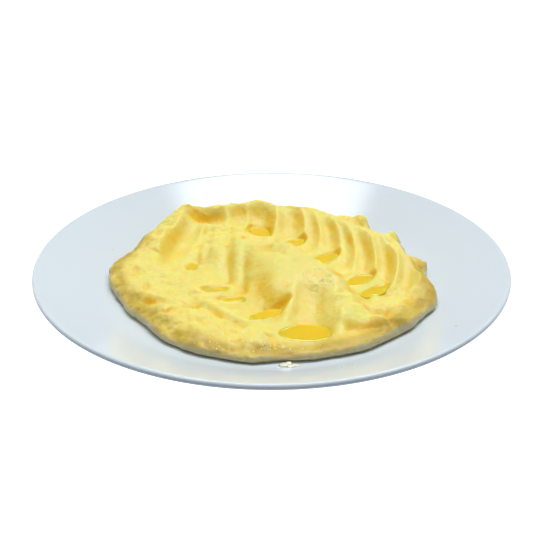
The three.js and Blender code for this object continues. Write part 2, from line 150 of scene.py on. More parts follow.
def soft_min(a: Array, b: Array, blend: float) -> Array:
    """The lower of two heights, with the corner between them rounded over blend."""
    t = np.clip(0.5 + 0.5 * (b - a) / blend, 0, 1)
    return b * (1 - t) + a * t - blend * t * (1 - t)


def soft_max(a: Array, b: Array, blend: float) -> Array:
    """The higher of two heights, with the corner between them rounded over blend."""
    return -soft_min(-a, -b, blend)


def turned(
    x: Array, y: Array, middle: tuple[float, float], heading: float
) -> tuple[Array, Array]:
    """Measures plan places from a middle, along a heading and across it.

    Args:
        x: Plan places.
        y: Plan places.
        middle: Where both measures are 0.
        heading: Degrees from +X towards +Y.

    Returns:
        Distances along the heading, and across it to its left.
    """
    cosine, sine = math.cos(math.radians(heading)), math.sin(math.radians(heading))
    off_x, off_y = x - middle[0], y - middle[1]
    return off_x * cosine + off_y * sine, -off_x * sine + off_y * cosine


def curve_through(points: Sequence[tuple[float, ...]], steps: int) -> Array:
    """A Catmull-Rom curve through points, as short straight steps.

    Args:
        points: The points that the curve passes through.
        steps: Steps between one point and the next.

    Returns:
        One row for each point of the curve.
    """
    given = np.array(points, float)
    padded = np.vstack([2 * given[0] - given[1], given, 2 * given[-1] - given[-2]])
    rows = []
    for a, b, c, d in zip(padded[:-3], padded[1:-2], padded[2:-1], padded[3:]):
        for t in np.arange(steps) / steps:
            bend = 2 * a - 5 * b + 4 * c - d + t * (3 * (b - c) + d - a)
            rows.append(b + 0.5 * t * (c - a + t * bend))
    rows.append(given[-1])
    return np.array(rows)


def nearest_on(curve: Array, x: Array, y: Array) -> tuple[Array, Array, Array]:
    """Finds the nearest place on a curve for each plan point.

    Args:
        curve: Rows of x, y and, where the curve has one, height.
        x: Plan places.
        y: Plan places.

    Returns:
        Distances, sides (1 to the left of the curve's direction) and the curve's heights there.
    """
    best = np.full(x.shape, np.inf)
    side = np.zeros(x.shape)
    height = np.zeros(x.shape)
    for start, end in zip(curve[:-1], curve[1:]):
        dx, dy = end[0] - start[0], end[1] - start[1]
        t = np.clip(((x - start[0]) * dx + (y - start[1]) * dy) / (dx * dx + dy * dy), 0, 1)
        off_x, off_y = x - start[0] - t * dx, y - start[1] - t * dy
        square = off_x**2 + off_y**2
        closer = square < best
        best = np.where(closer, square, best)
        side = np.where(closer, np.sign(dx * off_y - dy * off_x), side)
        if len(start) > 2:
            height = np.where(closer, start[2] + t * (end[2] - start[2]), height)
    return np.sqrt(best), side, height


def value_noise(points: Array, size: float, seed: int) -> Array:
    """Smooth random values from -1 to 1 on a cubic lattice.

    Args:
        points: Rows of x, y, z in millimetres.
        size: The lattice's spacing in millimetres.
        seed: The random draw's seed.

    Returns:
        One value for each row.
    """
    cells, shift = 32, 0.37
    lattice = np.random.default_rng(seed).uniform(-1, 1, (cells, cells, cells))
    scaled = points / size + shift * seed
    low = np.floor(scaled).astype(int)
    t = scaled - low
    t = t * t * (3 - 2 * t)
    total = np.zeros(len(points))
    for corner in np.ndindex(2, 2, 2):
        weight = np.prod(np.where(np.array(corner) == 1, t, 1 - t), axis=1)
        index = (low + corner) % cells
        total += weight * lattice[index[:, 0], index[:, 1], index[:, 2]]
    return total


def fractal_noise(points: Array, size: float, seed: int, octaves: int = 3) -> Array:
    """Value noise with finer, weaker copies of itself.

    Args:
        points: Rows of x, y, z in millimetres.
        size: The coarsest spacing in millimetres.
        seed: The random draw's seed.
        octaves: How many sizes are added up.

    Returns:
        One value, mostly from -1 to 1, for each row.
    """
    finer = 2.03
    total = np.zeros(len(points))
    for octave in range(octaves):
        total += value_noise(points, size / finer**octave, seed + octave) / 2**octave
    return total


def mesh_object(
    name: str, vertices: Array, faces: list | Array, material: bpy.types.Material
) -> bpy.types.Object:
    """Makes a smooth-shaded mesh object at the origin.

    Args:
        name: The object's name.
        vertices: Rows of x, y, z in millimetres.
        faces: Vertex indices of each face.
        material: The finish.

    Returns:
        The object, linked to the scene.
    """
    mesh = bpy.data.meshes.new(name)
    corners = faces.tolist() if isinstance(faces, np.ndarray) else faces
    mesh.from_pydata((np.asarray(vertices) * MM).tolist(), [], corners)
    mesh.shade_smooth()
    mesh.materials.append(material)
    mesh.update()
    piece = bpy.data.objects.new(name, mesh)
    bpy.context.scene.collection.objects.link(piece)
    return piece


def set_attribute(mesh: bpy.types.Mesh, zone: Zone, values: Array) -> None:
    """Stores one number for each vertex under the zone's name."""
    attribute = mesh.attributes.new(zone.value, "FLOAT", "POINT")
    attribute.data.foreach_set("value", np.asarray(values, np.float32))


def dress(piece: bpy.types.Object, slot: Slot, *nodes: str) -> None:
    """Rides a finished piece on the frame's body.

    Args:
        piece: The finished piece.
        slot: The record's material slot; not used.
        nodes: The frame's nodes that the piece stands for.
    """
    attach(piece, BODY)
    if nodes:
        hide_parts(*nodes)
    stands_for = ", ".join(nodes) or "nothing"
    LOG.info("%s: %d faces, stands for %s", piece.name, len(piece.data.polygons), stands_for)


# ------------------------------------------------------------------ finishes


@dataclass(frozen=True)
class GlazedStoneware:
    """White stoneware, dipped in clear glossy glaze and fired.

    The glaze gives sharp reflections over a faintly blue white body. It lies a little unevenly,
    which bends the reflections, and the foot ring is wiped bare, so it is dull and greyer. Under
    the rim's outer edge, where it faces down, a blue-grey is painted shade.
    """

    body: str = "e1e7e9"
    bare_foot: str = "c9c4ba"
    # Painted shade: the blue-grey of the rim's outer edge where it faces down.
    rim_shade: str = "74808a"
    edge_radii_mm: tuple[float, float] = (132.6, 133.6)
    edge_heights_mm: tuple[float, float] = (21.9, 20.6)
    glaze_roughness: float = 0.07
    bare_roughness: float = 0.8
    ripple_mm: float = 26.0
    ripple_strength: float = 0.05
    bare_below_mm: float = 0.6
    ior: float = 1.52

    def material(self) -> bpy.types.Material:
        """Builds the node material.

        Returns:
            The finished material.
        """
        material, tree = new_material("glazed_stoneware_white")
        place = add_node(tree, "ShaderNodeTexCoord")
        axes = add_node(tree, "ShaderNodeSeparateXYZ", links={0: place.outputs["Object"]})
        bare = add_node(
            tree, "ShaderNodeMapRange",
            values={"From Min": self.bare_below_mm * MM, "From Max": 0.0},
            links={"Value": axes.outputs["Z"]},
        )
        colour = add_node(
            tree, "ShaderNodeMix", {"data_type": "RGBA"},
            {"A": linear(self.body), "B": linear(self.bare_foot)},
            {"Factor": bare.outputs["Result"]},
        )
        flat = add_node(
            tree, "ShaderNodeCombineXYZ", links={"X": axes.outputs["X"], "Y": axes.outputs["Y"]}
        )
        radius = add_node(
            tree, "ShaderNodeVectorMath", {"operation": "LENGTH"}, links={0: flat.outputs["Vector"]}
        )
        outmost, below = (
            add_node(
                tree, "ShaderNodeMapRange",
                values={"From Min": start * MM, "From Max": end * MM},
                links={"Value": measure},
            )
            for (start, end), measure in (
                (self.edge_radii_mm, radius.outputs["Value"]),
                (self.edge_heights_mm, axes.outputs["Z"]),
            )
        )
        # Painted shade under the rim: the blue-grey is mixed in where the edge is outermost and lowest.
        thin = add_node(
            tree, "ShaderNodeMath", {"operation": "MULTIPLY"},
            links={0: outmost.outputs["Result"], 1: below.outputs["Result"]},
        )
        rim_shaded = add_node(
            tree, "ShaderNodeMix", {"data_type": "RGBA"}, {"B": linear(self.rim_shade)},
            {"Factor": thin.outputs["Value"], "A": colour.outputs["Result"]},
        )
        roughness = add_node(
            tree, "ShaderNodeMapRange",
            values={"To Min": self.glaze_roughness, "To Max": self.bare_roughness},
            links={"Value": bare.outputs["Result"]},
        )
        ripple = add_node(
            tree, "ShaderNodeTexNoise", values={"Scale": 1 / (self.ripple_mm * MM), "Detail": 1.0},
            links={"Vector": place.outputs["Object"]},
        )
        bump = add_node(
            tree, "ShaderNodeBump", values={"Strength": self.ripple_strength, "Distance": MM},
            links={"Height": ripple.outputs["Fac"]},
        )
        shader = add_node(
            tree, "ShaderNodeBsdfPrincipled", values={"IOR": self.ior},
            links={
                "Base Color": rim_shaded.outputs["Result"],
                "Roughness": roughness.outputs["Result"],
                "Normal": bump.outputs["Normal"],
            },
        )
        add_node(tree, "ShaderNodeOutputMaterial", links={"Surface": shader.outputs["BSDF"]})
        return material


@dataclass(frozen=True)
class MashedPotato:
    """Potato mashed with milk and butter, pressed with a spoon, with melted butter over it.

    Moist starch scatters light deeply, so it glows and its shadows are warm. The butter makes a
    thin gloss and a deeper yellow, most of all where it gathers in hollows; the same golden is
    also painted shade on steep faces, in hollows and in the dips of the lumps. A darker olive
    along the front foot is painted shade. Potato that the butter hasn't reached stays a dull
    cream, darkened as painted shade. Fine grains of potato roughen the surface.
    """

    # The dull cream of unbuttered potato, darkened as painted shade of the foot.
    cream: str = "c6bb90"
    yellow: str = "f8e277"
    # The butter's deeper yellow, also used as painted shade on steep faces, in hollows and in lump dips.
    golden: str = "ffc60e"
    # Painted shade: the darker olive of the front foot.
    hem_shade: str = "cba930"
    scatter_mm: float = 2.2
    scatter_depths: tuple[float, float, float] = (1.0, 0.62, 0.18)
    ior: float = 1.45
    dull: float = 0.56
    glossy: float = 0.36
    film: float = 0.3
    film_roughness: float = 0.14
    film_ior: float = 1.46
    patch_mm: float = 14.0
    patch_weight: float = 0.5
    patch_base: float = 0.1
    lump_mm: float = 3.4
    # Negative: where the bump's lumps are low the colour goes golden, as painted shade in their dips.
    lump_shade_weight: float = -0.7
    grain_mm: float = 1.1
    grain_weight: float = 0.35
    bump_mm: float = 0.6
    bump_strength: float = 0.8
    film_bump_strength: float = 1.0

    def material(self) -> bpy.types.Material:
        """Builds the node material.

        Returns:
            The finished material.
        """
        material, tree = new_material("mashed_potato_buttered")
        place = add_node(tree, "ShaderNodeTexCoord")
        buttered, hollow_and_shade, wet, grainy, hem_shade = (
            add_node(tree, "ShaderNodeAttribute", {"attribute_name": zone.value})
            for zone in (Zone.BUTTERED, Zone.HOLLOW_AND_SHADE, Zone.WET, Zone.GRAINY, Zone.HEM_SHADE)
        )
        patches = add_node(
            tree, "ShaderNodeTexNoise",
            values={"Scale": 1 / (self.patch_mm * MM), "Detail": 4.0, "Roughness": 0.6},
            links={"Vector": place.outputs["Object"]},
        )
        grain = add_node(
            tree, "ShaderNodeTexNoise", values={"Scale": 1 / (self.grain_mm * MM), "Detail": 2.0},
            links={"Vector": place.outputs["Object"]},
        )
        lumps = add_node(
            tree, "ShaderNodeTexNoise", values={"Scale": 1 / (self.lump_mm * MM), "Detail": 3.0},
            links={"Vector": place.outputs["Object"]},
        )
        unevenly = add_node(
            tree, "ShaderNodeMath", {"operation": "MULTIPLY_ADD"},
            {1: self.patch_weight, 2: self.patch_base}, {0: patches.outputs["Fac"]},
        )
        # Random patches, plus painted shade where the bump's lumps are low.
        mottled_and_shaded = add_node(
            tree, "ShaderNodeMath", {"operation": "MULTIPLY_ADD"}, {1: self.lump_shade_weight},
            {0: lumps.outputs["Fac"], 2: unevenly.outputs["Value"]},
        )
        # Golden where butter gathers, with painted shade of steep faces, hollows and lump dips.
        deep = add_node(
            tree, "ShaderNodeMath", {"operation": "ADD", "use_clamp": True},
            links={0: hollow_and_shade.outputs["Fac"], 1: mottled_and_shaded.outputs["Value"]},
        )
        rich = add_node(
            tree, "ShaderNodeMix", {"data_type": "RGBA"},
            {"A": linear(self.yellow), "B": linear(self.golden)},
            {"Factor": deep.outputs["Value"]},
        )
        # Painted shade: the front foot mixed towards olive.
        hem_shaded = add_node(
            tree, "ShaderNodeMix", {"data_type": "RGBA"}, {"B": linear(self.hem_shade)},
            {"Factor": hem_shade.outputs["Fac"], "A": rich.outputs["Result"]},
        )
        colour = add_node(
            tree, "ShaderNodeMix", {"data_type": "RGBA"}, {"A": linear(self.cream)},
            {"Factor": buttered.outputs["Fac"], "B": hem_shaded.outputs["Result"]},
        )
        rough = add_node(
            tree, "ShaderNodeMapRange", values={"To Min": self.dull, "To Max": self.glossy},
            links={"Value": wet.outputs["Fac"]},
        )
        height = add_node(
            tree, "ShaderNodeMath", {"operation": "MULTIPLY_ADD"}, {1: self.grain_weight},
            {0: grain.outputs["Fac"], 2: lumps.outputs["Fac"]},
        )
        bump, sparkle = (
            add_node(
                tree, "ShaderNodeBump", values={"Strength": strength, "Distance": self.bump_mm * MM},
                links={"Height": height.outputs["Value"]},
            )
            for strength in (self.bump_strength, self.film_bump_strength)
        )
        film = add_node(
            tree, "ShaderNodeMath", {"operation": "MULTIPLY", "use_clamp": True}, {1: self.film},
            {0: grainy.outputs["Fac"]},
        )
        shader = add_node(
            tree, "ShaderNodeBsdfPrincipled",
            values={
                "IOR": self.ior,
                "Subsurface Weight": 1.0,
                "Subsurface Radius": self.scatter_depths,
                "Subsurface Scale": self.scatter_mm * MM,
                "Coat Roughness": self.film_roughness,
                "Coat IOR": self.film_ior,
            },
            links={
                "Base Color": colour.outputs["Result"],
                "Roughness": rough.outputs["Result"],
                "Coat Weight": film.outputs["Value"],
                "Normal": bump.outputs["Normal"],
                "Coat Normal": sparkle.outputs["Normal"],
            },
        )
        add_node(tree, "ShaderNodeOutputMaterial", links={"Surface": shader.outputs["BSDF"]})
        return material


@dataclass(frozen=True)
class MeltedButter:
    """Melted butter: a clear yellow fat that lies as a mirror-smooth liquid.

    Light that goes in comes back a strong warm yellow, deeper where the pool is deeper.
    """

    shallow: str = "ffd02c"
    deep: str = "ffc906"
    roughness: float = 0.04
    ior: float = 1.46
    scatter_mm: float = 2.0
    scatter_depths: tuple[float, float, float] = (1.0, 0.6, 0.1)
    swell_mm: float = 5.0
    swell_height_mm: float = 0.5
    swell_strength: float = 0.08

    def material(self) -> bpy.types.Material:
        """Builds the node material.

        Returns:
            The finished material.
        """
        material, tree = new_material("melted_butter_liquid")
        depth = add_node(tree, "ShaderNodeAttribute", {"attribute_name": Zone.HOLLOW_AND_SHADE.value})
        colour = add_node(
            tree, "ShaderNodeMix", {"data_type": "RGBA"},
            {"A": linear(self.shallow), "B": linear(self.deep)},
            {"Factor": depth.outputs["Fac"]},
        )
        place = add_node(tree, "ShaderNodeTexCoord")
        swell = add_node(
            tree, "ShaderNodeTexNoise", values={"Scale": 1 / (self.swell_mm * MM), "Detail": 1.0},
            links={"Vector": place.outputs["Object"]},
        )
        bump = add_node(
            tree, "ShaderNodeBump",
            values={"Strength": self.swell_strength, "Distance": self.swell_height_mm * MM},
            links={"Height": swell.outputs["Fac"]},
        )
        shader = add_node(
            tree, "ShaderNodeBsdfPrincipled",
            values={
                "IOR": self.ior,
                "Roughness": self.roughness,
                "Subsurface Weight": 1.0,
                "Subsurface Radius": self.scatter_depths,
                "Subsurface Scale": self.scatter_mm * MM,
            },
            links={"Base Color": colour.outputs["Result"], "Normal": bump.outputs["Normal"]},
        )
        add_node(tree, "ShaderNodeOutputMaterial", links={"Surface": shader.outputs["BSDF"]})
        return material


@dataclass(frozen=True)
class ButteredGrain:
    """A grain of potato steeped in butter: paler than the film round it, and glossy.

    The paleness is partly a painted highlight, standing in for glints of the wet film.
    """

    # Paler than the film, partly as a painted highlight of wet glints.
    colour: str = "fff4ae"
    roughness: float = 0.25
    ior: float = 1.46

    def material(self) -> bpy.types.Material:
        """Builds the node material.

        Returns:
            The finished material.
        """
        material, tree = new_material("potato_grain_buttered")
        shader = add_node(
            tree, "ShaderNodeBsdfPrincipled",
            values={
                "Base Color": linear(self.colour),
                "IOR": self.ior,
                "Roughness": self.roughness,
            },
        )
        add_node(tree, "ShaderNodeOutputMaterial", links={"Surface": shader.outputs["BSDF"]})
        return material


@dataclass(frozen=True)
class StudioPaper:
    """Seamless white studio paper, lit until it shows no shade."""

    colour: str = "fbfcfd"
    glow: float = 0.55

    def material(self) -> bpy.types.Material:
        """Builds the node material.

        Returns:
            The finished material.
        """
        material, tree = new_material("studio_paper_white")
        shader = add_node(
            tree, "ShaderNodeBsdfPrincipled",
            values={
                "Base Color": linear(self.colour),
                "Roughness": 1.0,
                "Specular IOR Level": 0.0,
                "Emission Color": (1.0, 1.0, 1.0, 1.0),
                "Emission Strength": self.glow,
            },
        )
        add_node(tree, "ShaderNodeOutputMaterial", links={"Surface": shader.outputs["BSDF"]})
        return material


# ------------------------------------------------------------------ the plate


@dataclass
class DinnerPlate:
    """A coupe plate: flat well, straight sloping flange, rounded rim and foot ring."""

    radius: float = 135.0
    height: float = 22.0
    rim_thickness: float = 3.3
    well_floor: float = 6.0
    well_thickness: float = 4.0
    bend_radius: float = 92.0  # where the well floor and the flange would meet
    bend_reach: float = 10.0  # half the width of the smooth bend between them
    slope: float = 0.39
    foot_radius: float = 79.0
    foot_flat: float = 4.0
    foot_bevel: float = 1.4
    foot_bevel_share: float = 0.6  # height of the bevel's corner, as a share of the foot's
    foot_softening: tuple[float, float] = (0.3, 0.25)  # how far out and up the flat's edge is eased
    under_rise: float = 0.1
    under_bend_inset: float = 6.0  # how far past the bend's start the underside begins to climb
    under_ring: float = 40.0
    well_rings: tuple[float, float] = (60.0, 30.0)
    rim_inset: float = 2.0  # from the rim's rounding to the flange's first ring
    bend_inset: float = 1.0  # from the flange's last ring to the bend's first
    under_steps: int = 12
    rim_steps: int = 17
    flange_steps: int = 12
    bend_steps: int = 20
    sectors: int = 480

    def top(self, radius: Array) -> Array:
        """Height of the upper surface: flat well, parabolic bend, straight flange.

        Args:
            radius: Distances from the axis.

        Returns:
            Heights in millimetres.
        """
        past, reach = np.asarray(radius, float) - self.bend_radius, self.bend_reach
        bend = self.slope * np.clip(past + reach, 0, 2 * reach) ** 2 / (4 * reach)
        return self.well_floor + bend + self.slope * np.maximum(past - reach, 0)

    def profile(self) -> list[tuple[float, float]]:
        """The section from the axis underneath, round the rim and back to the axis.

        Returns:
            Radius and height pairs.
        """
        edge = self.rim_thickness / 2
        tilt = math.atan(self.slope)
        under = self.well_floor - self.well_thickness
        bevel, half_way = self.foot_bevel, under * self.foot_bevel_share
        soft_out, soft_up = self.foot_softening
        start = self.bend_radius - self.bend_reach
        end = start + 2 * self.bend_reach
        foot = self.foot_radius - self.foot_flat / 2
        points = [(0.0, under), (self.under_ring, under), (foot - 2 * bevel, under)]
        points += [(foot - bevel, half_way), (foot - soft_out, soft_up), (foot, 0.0)]
        foot = self.foot_radius + self.foot_flat / 2
        points += [(foot, 0.0), (foot + soft_out, soft_up), (foot + bevel, half_way)]
        points += [(foot + 2 * bevel, under + self.under_rise)]
        below = np.linspace(start + self.under_bend_inset, end, self.under_steps)
        points += [(float(r), float(self.top(r)) - self.well_thickness) for r in below]
        for angle in np.linspace(-math.pi / 2 + tilt, math.pi / 2 + tilt, self.rim_steps):
            points.append((
                self.radius - edge + edge * math.cos(angle),
                self.height - edge + edge * math.sin(angle),
            ))
        flange = np.linspace(self.radius - edge - self.rim_inset, end, self.flange_steps)
        bend = np.linspace(end - self.bend_inset, start, self.bend_steps)
        points += [(float(r), float(self.top(r))) for r in (*flange, *bend)]
        points += [(r, self.well_floor) for r in (*self.well_rings, 0.0)]
        return points

    def build(self) -> bpy.types.Object:
        """Turns the section round the axis and dresses it.

        Returns:
            The finished plate.
        """
        points = np.array(self.profile())
        inner = points[1:-1]
        angles = 2 * np.pi * np.arange(self.sectors) / self.sectors
        rings = np.stack([
            inner[:, None, 0] * np.cos(angles),
            inner[:, None, 0] * np.sin(angles),
            np.repeat(inner[:, None, 1], self.sectors, axis=1),
        ], axis=-1)
        vertices = np.vstack([rings.reshape(-1, 3), [[0, 0, points[0, 1]], [0, 0, points[-1, 1]]]])
        here = np.arange(self.sectors)
        ahead = (here + 1) % self.sectors
        faces = []
        for ring in range(len(inner) - 1):
            low, high = ring * self.sectors, (ring + 1) * self.sectors
            faces += np.stack([low + here, low + ahead, high + ahead, high + here], axis=1).tolist()
        last = (len(inner) - 1) * self.sectors
        bottom, top = len(vertices) - 2, len(vertices) - 1
        faces += np.stack([ahead, here, np.full(self.sectors, bottom)], axis=1).tolist()
        faces += np.stack([last + here, last + ahead, np.full(self.sectors, top)], axis=1).tolist()
        piece = mesh_object("dinner_plate", vertices, faces, GlazedStoneware().material())
        dress(piece, Slot.STONEWARE, "plate")
        return piece


# ------------------------------------------------------------------ the potato's form


@dataclass(frozen=True)
class Press:
    """One press of the spoon.

    The bowl's deepest point, the heading in degrees of the wall that the spoon pushed up, the
    reaches along and across it where the bowl has risen by MashForm.press_rise, and the sideways
    bend of its axis.
    """

    x: float
    y: float
    z: float
    heading: float
    near: float
    far: float
    half: float
    bend: float = 0.0

    def height(self, x: Array, y: Array, rise: float) -> Array:
        """Height of the bowl that the press leaves.

        Args:
            x: Plan places.
            y: Plan places.
            rise: How high the bowl is at its stated reaches.

        Returns:
            Heights in millimetres.
        """
        t, s = turned(x, y, (self.x, self.y), self.heading)
        bent = s - self.bend * t * np.abs(t)
        reach = np.where(t < 0, self.near, self.far)
        return self.z + rise * ((t / reach) ** 2 + (bent / self.half) ** 2)


@dataclass(frozen=True)
class Bowl:
    """A flat-floored bowl: an oval floor with walls that climb at a steady slope.

    The floor's middle and height, the heading in degrees of its long axis, its half length and
    half width, and the slopes of the walls ahead, on the left, behind and on the right.
    """

    x: float
    y: float
    z: float
    heading: float
    half_length: float
    half_width: float
    ahead: float
    left: float
    behind: float
    right: float
    foot_curve: float = 1.4

    def height(self, x: Array, y: Array) -> Array:
        """Height of the bowl.

        Args:
            x: Plan places.
            y: Plan places.

        Returns:
            Heights in millimetres.
        """
        t, s = turned(x, y, (self.x, self.y), self.heading)
        reach = np.maximum(np.hypot(t, s), TINY)
        outside = reach * np.maximum(1 - 1 / np.hypot(t / self.half_length, s / self.half_width), 0)
        lengthwise = np.where(t > 0, self.ahead, self.behind) * (t / reach) ** 2
        sideways = np.where(s > 0, self.left, self.right) * (s / reach) ** 2
        slope = lengthwise + sideways
        return self.z + slope * (np.hypot(outside, self.foot_curve) - self.foot_curve)


@dataclass(frozen=True)
class Stroke:
    """A fold, or with a negative height a groove, along a path whose points give its strength."""

    path: tuple[tuple[float, float, float], ...]
    height: float
    width: float


@dataclass(frozen=True)
class Pool:
    """Where melted butter stands: an oval dent with a low bank round it, and the butter's level.

    The middle, the level, the heading in degrees of its long axis, its half length and half width.
    """

    x: float
    y: float
    level: float
    heading: float
    half_length: float
    half_width: float
    depth: float = 1.3
    shore_slope: float = 0.6
    shore_curve: float = 0.35
    bank_height: float = 0.3
    bank_reach: float = 0.9
    bank_fall: float = 0.09
    blend: float = 1.0

    def outside(self, x: Array, y: Array) -> Array:
        """Measures how far places lie from the pool's edge.

        Args:
            x: Plan places.
            y: Plan places.

        Returns:
            Distances outside the edge, negative inside it.
        """
        t, s = turned(x, y, (self.x, self.y), self.heading)
        t, s = t / self.half_length, s / self.half_width
        reach = np.maximum(np.hypot(t, s), TINY)
        return (reach - 1) * reach / np.hypot(t / self.half_length, s / self.half_width)

    def seat(self, top: Array, x: Array, y: Array) -> Array:
        """Sets the pool's dent and bank into the potato.

        Args:
            top: The potato's height without the pool.
            x: Plan places.
            y: Plan places.

        Returns:
            Heights with the pool's seat.
        """
        outside = self.outside(x, y)
        past = np.maximum(outside - self.bank_reach, 0)
        bank = self.level + self.bank_height - self.bank_fall * past**2
        shore = self.shore_slope * outside + self.shore_curve * np.maximum(outside, 0) ** 2
        dent = self.level + np.maximum(shore, -self.depth)
        return soft_min(soft_max(top, bank, self.blend), dent, self.blend)


@dataclass
class MashForm:
    """The potato's surface: crests, spoon presses, folds and lumps, as the solid has them."""

    plate: DinnerPlate
    pools: tuple[Pool, ...] = (
        Pool(-8, 53, 14.9, -62, 8.5, 5.5),
        Pool(13.5, 37, 15.0, 42, 7, 4.5),
        Pool(31, 15.5, 15.1, 46, 9.5, 4.8),
        Pool(50, -12.5, 15.1, 40, 9.5, 4.4),
        Pool(57.5, -24.5, 15.1, 42, 9.5, 4.3),
        Pool(-46.5, 6, 14.0, 80, 4, 3.2),
        Pool(-31, -20.5, 13.0, 18, 8, 3.4),
        Pool(-23, -31.5, 13.0, 6, 7.5, 3.0),
        Pool(-3.5, -49, 12.4, 35, 10.5, 3.6),
        Pool(17.5, -67.5, 12.0, -3, 14, 8.2),
    )
    gap: float = 0.3  # between potato and plate
    lip: float = 2.2  # height of the widest line above the plate
    undercut: float = 1.8  # how far the foot lies in under the widest line
    edge_width_front: float = 15.0
    edge_width_back: float = 12.0
    edge_roundness: float = 2.3  # exponent of the shoulder's superellipse
    level_front: float = 15.0
    level_back: float = 17.5
    press_rise: float = 9.0  # every press states the reaches at which its bowl is this high
    # Radius of the plan outline at each heading in degrees.
    outline: tuple[tuple[float, float], ...] = (
        (0, 88), (9, 92), (20, 86), (32, 91), (40, 85), (50, 92), (61, 87), (75, 85), (90, 86),
        (104, 88), (118, 90), (128, 94), (140, 93), (152, 91), (166, 92), (178, 95), (191, 90),
        (204, 86.5), (220, 86.5), (234, 89), (248, 91), (262, 91), (271, 89), (284, 90.5),
        (297, 91.5), (309, 93), (321, 93), (334, 94), (344, 96.5), (352, 93.5),
    )
    # Ripples of the outline: waves round the edge, phase and height.
    ripples: tuple[tuple[int, float, float], ...] = ((11, 0.9, 0.6), (19, 2.1, 0.45))
    # The crests and the front valley: x, y and height of the points that they pass through.
    centre_crest: tuple[tuple[float, float, float], ...] = (
        (-52, 54, 14.5), (-42, 47, 17), (-23, 34, 21.5), (-8, 18, 25.2), (12, 3, 27.2),
        (28, -20, 26.4), (38, -35, 23), (45, -43, 18),
    )
    back_crest: tuple[tuple[float, float, float], ...] = (
        (-54, 63, 25.5), (-43, 71, 25.2), (-28, 74, 25.2), (-10, 72, 26), (6, 64, 25.5), (22, 59, 26),
        (40, 42, 26.5), (57, 20, 26.3), (68, 0, 25), (77, -12, 22.5), (86, -19, 18.5),
    )
    left_crest: tuple[tuple[float, float, float], ...] = (
        (-54, 63, 25.5), (-58, 45, 23), (-64, 27, 21), (-70, 12, 18.3), (-67, 0, 17.2),
        (-57, -9, 16.5), (-46, -14, 16.3), (-36, -14, 16.2), (-30, -12, 15.5),
    )
    front_valley: tuple[tuple[float, float, float], ...] = (
        (-53, 13, 15), (-40, 6, 14.2), (-28, -9, 13.4), (-20, -22, 13.1), (-14, -36, 13),
        (-5, -50, 12.8), (8, -61, 12.2), (20, -71, 11.8), (34, -71, 13), (48, -67, 15), (62, -62, 18),
    )
    crest_drop_back: float = 0.9
    crest_drop_front: float = 12.0
    crest_reach_front: float = 50.0
    back_crest_curve: float = 20.0
    left_crest_curve: float = 36.0
    valley_face_slope: float = 0.62
    valley_bank_curve: float = 40.0
    back_row: tuple[Press, ...] = (
        Press(-38, 62, 14.8, 92, 9, 9, 15),
        Press(-20, 59, 16.0, 95, 9, 16, 13),
        Press(-9.5, 51, 13.4, 80, 9, 23, 12.5, 0.006),
        Press(8.5, 37, 13.8, 66, 9, 28, 12.5, 0.012),
        Press(19, 24, 14.9, 58, 9, 30, 12, 0.016),
        Press(28, 11, 13.6, 52, 9, 33, 12.5, 0.018),
        Press(37, -1, 14.9, 52, 9, 34, 12, 0.018),
        Press(46, -16, 13.6, 50, 9, 34, 12.5, 0.018),
        Press(57, -24, 13.8, 48, 9, 32, 11.5, 0.018),
        Press(71, -27, 14.8, 52, 9, 26, 10, 0.018),
    )
    front_presses: tuple[Press, ...] = (
        Press(-59, 14, 12.6, 73, 20, 50, 10.5),
        Press(-31, -20, 12.4, 165, 12, 9, 7),
        Press(-22, -29, 12.4, 172, 11, 9, 6),
    )
    front_bowls: tuple[Bowl, ...] = (
        Bowl(-4, -48.5, 11.4, 33, 9.5, 1.8, 0.85, 0.54, 0.5, 0.36),
        Bowl(17, -66.5, 10.9, 0, 11.5, 5, 0.8, 0.34, 0.45, 0.34),
    )
    flutes: tuple[Stroke, ...] = (
        Stroke(((-43.8, 12, 1), (-44, 31, 1), (-44, 46, 0.2)), -2.2, 3.4),
        Stroke(((-37.5, 14, 0.8), (-37.5, 30, 1), (-38, 43, 0.2)), -1.7, 2.6),
        Stroke(((-24.5, -9, 1), (-25.8, 22, 1), (-23.6, 44, 0.2)), -2.1, 3.8),
        Stroke(((-16, -22, 1), (-15.5, 9, 1), (-15, 34, 0.2)), -1.6, 3.2),
        Stroke(((-4, -44, 0.8), (-6, -34, 1), (-8, -22, 0.7), (-9, -12, 0)), -2.1, 6.5),
        Stroke(((22, -58, 0.8), (24, -46, 1), (25, -34, 0.7), (25, -26, 0)), -2.6, 7.5),
    )
    folds: tuple[Stroke, ...] = (
        Stroke(((14.6, -22, 0.3), (11.7, -35, 1), (10.3, -46, 1), (6.8, -57, 0.5)), 1.5, 3),
        Stroke(((36, -42, 0.6), (37.5, -54, 1), (36, -66, 0.4)), 1.3, 3.2),
        Stroke(((-56, -50, 1), (-47, -42, 1), (-37, -43, 1), (-27, -53, 1), (-16, -61, 1)), -2.6, 3.4),
        Stroke(((-60, -47, 1), (-50, -37, 1), (-36, -37, 1), (-23, -49, 1), (-9, -58, 1)), 1.3, 4),
        Stroke(((-54, -57, 1), (-44, -54, 1), (-34, -56, 1)), 1.2, 3.2),
        Stroke(((-74, -31, 1), (-64, -38, 1), (-54, -38, 1)), -2.2, 3.2),
        Stroke(((-70, -27, 1), (-63, -31, 1), (-57, -35, 1)), 1.2, 3.6),
        Stroke(((-1, -70, 1), (2, -80, 1), (4, -92, 1)), -2.2, 2.2),
        Stroke(((50, -52, 1), (60, -53, 1)), -2.4, 4),
        Stroke(((42, -66, 1), (56, -65, 1)), -2.2, 3.6),
        Stroke(((56, -59, 1), (72, -59, 1)), 1.8, 3.6),
        Stroke(((44, -42, 1), (55, -44, 1), (68, -45, 1)), 1.7, 3.5),
    )
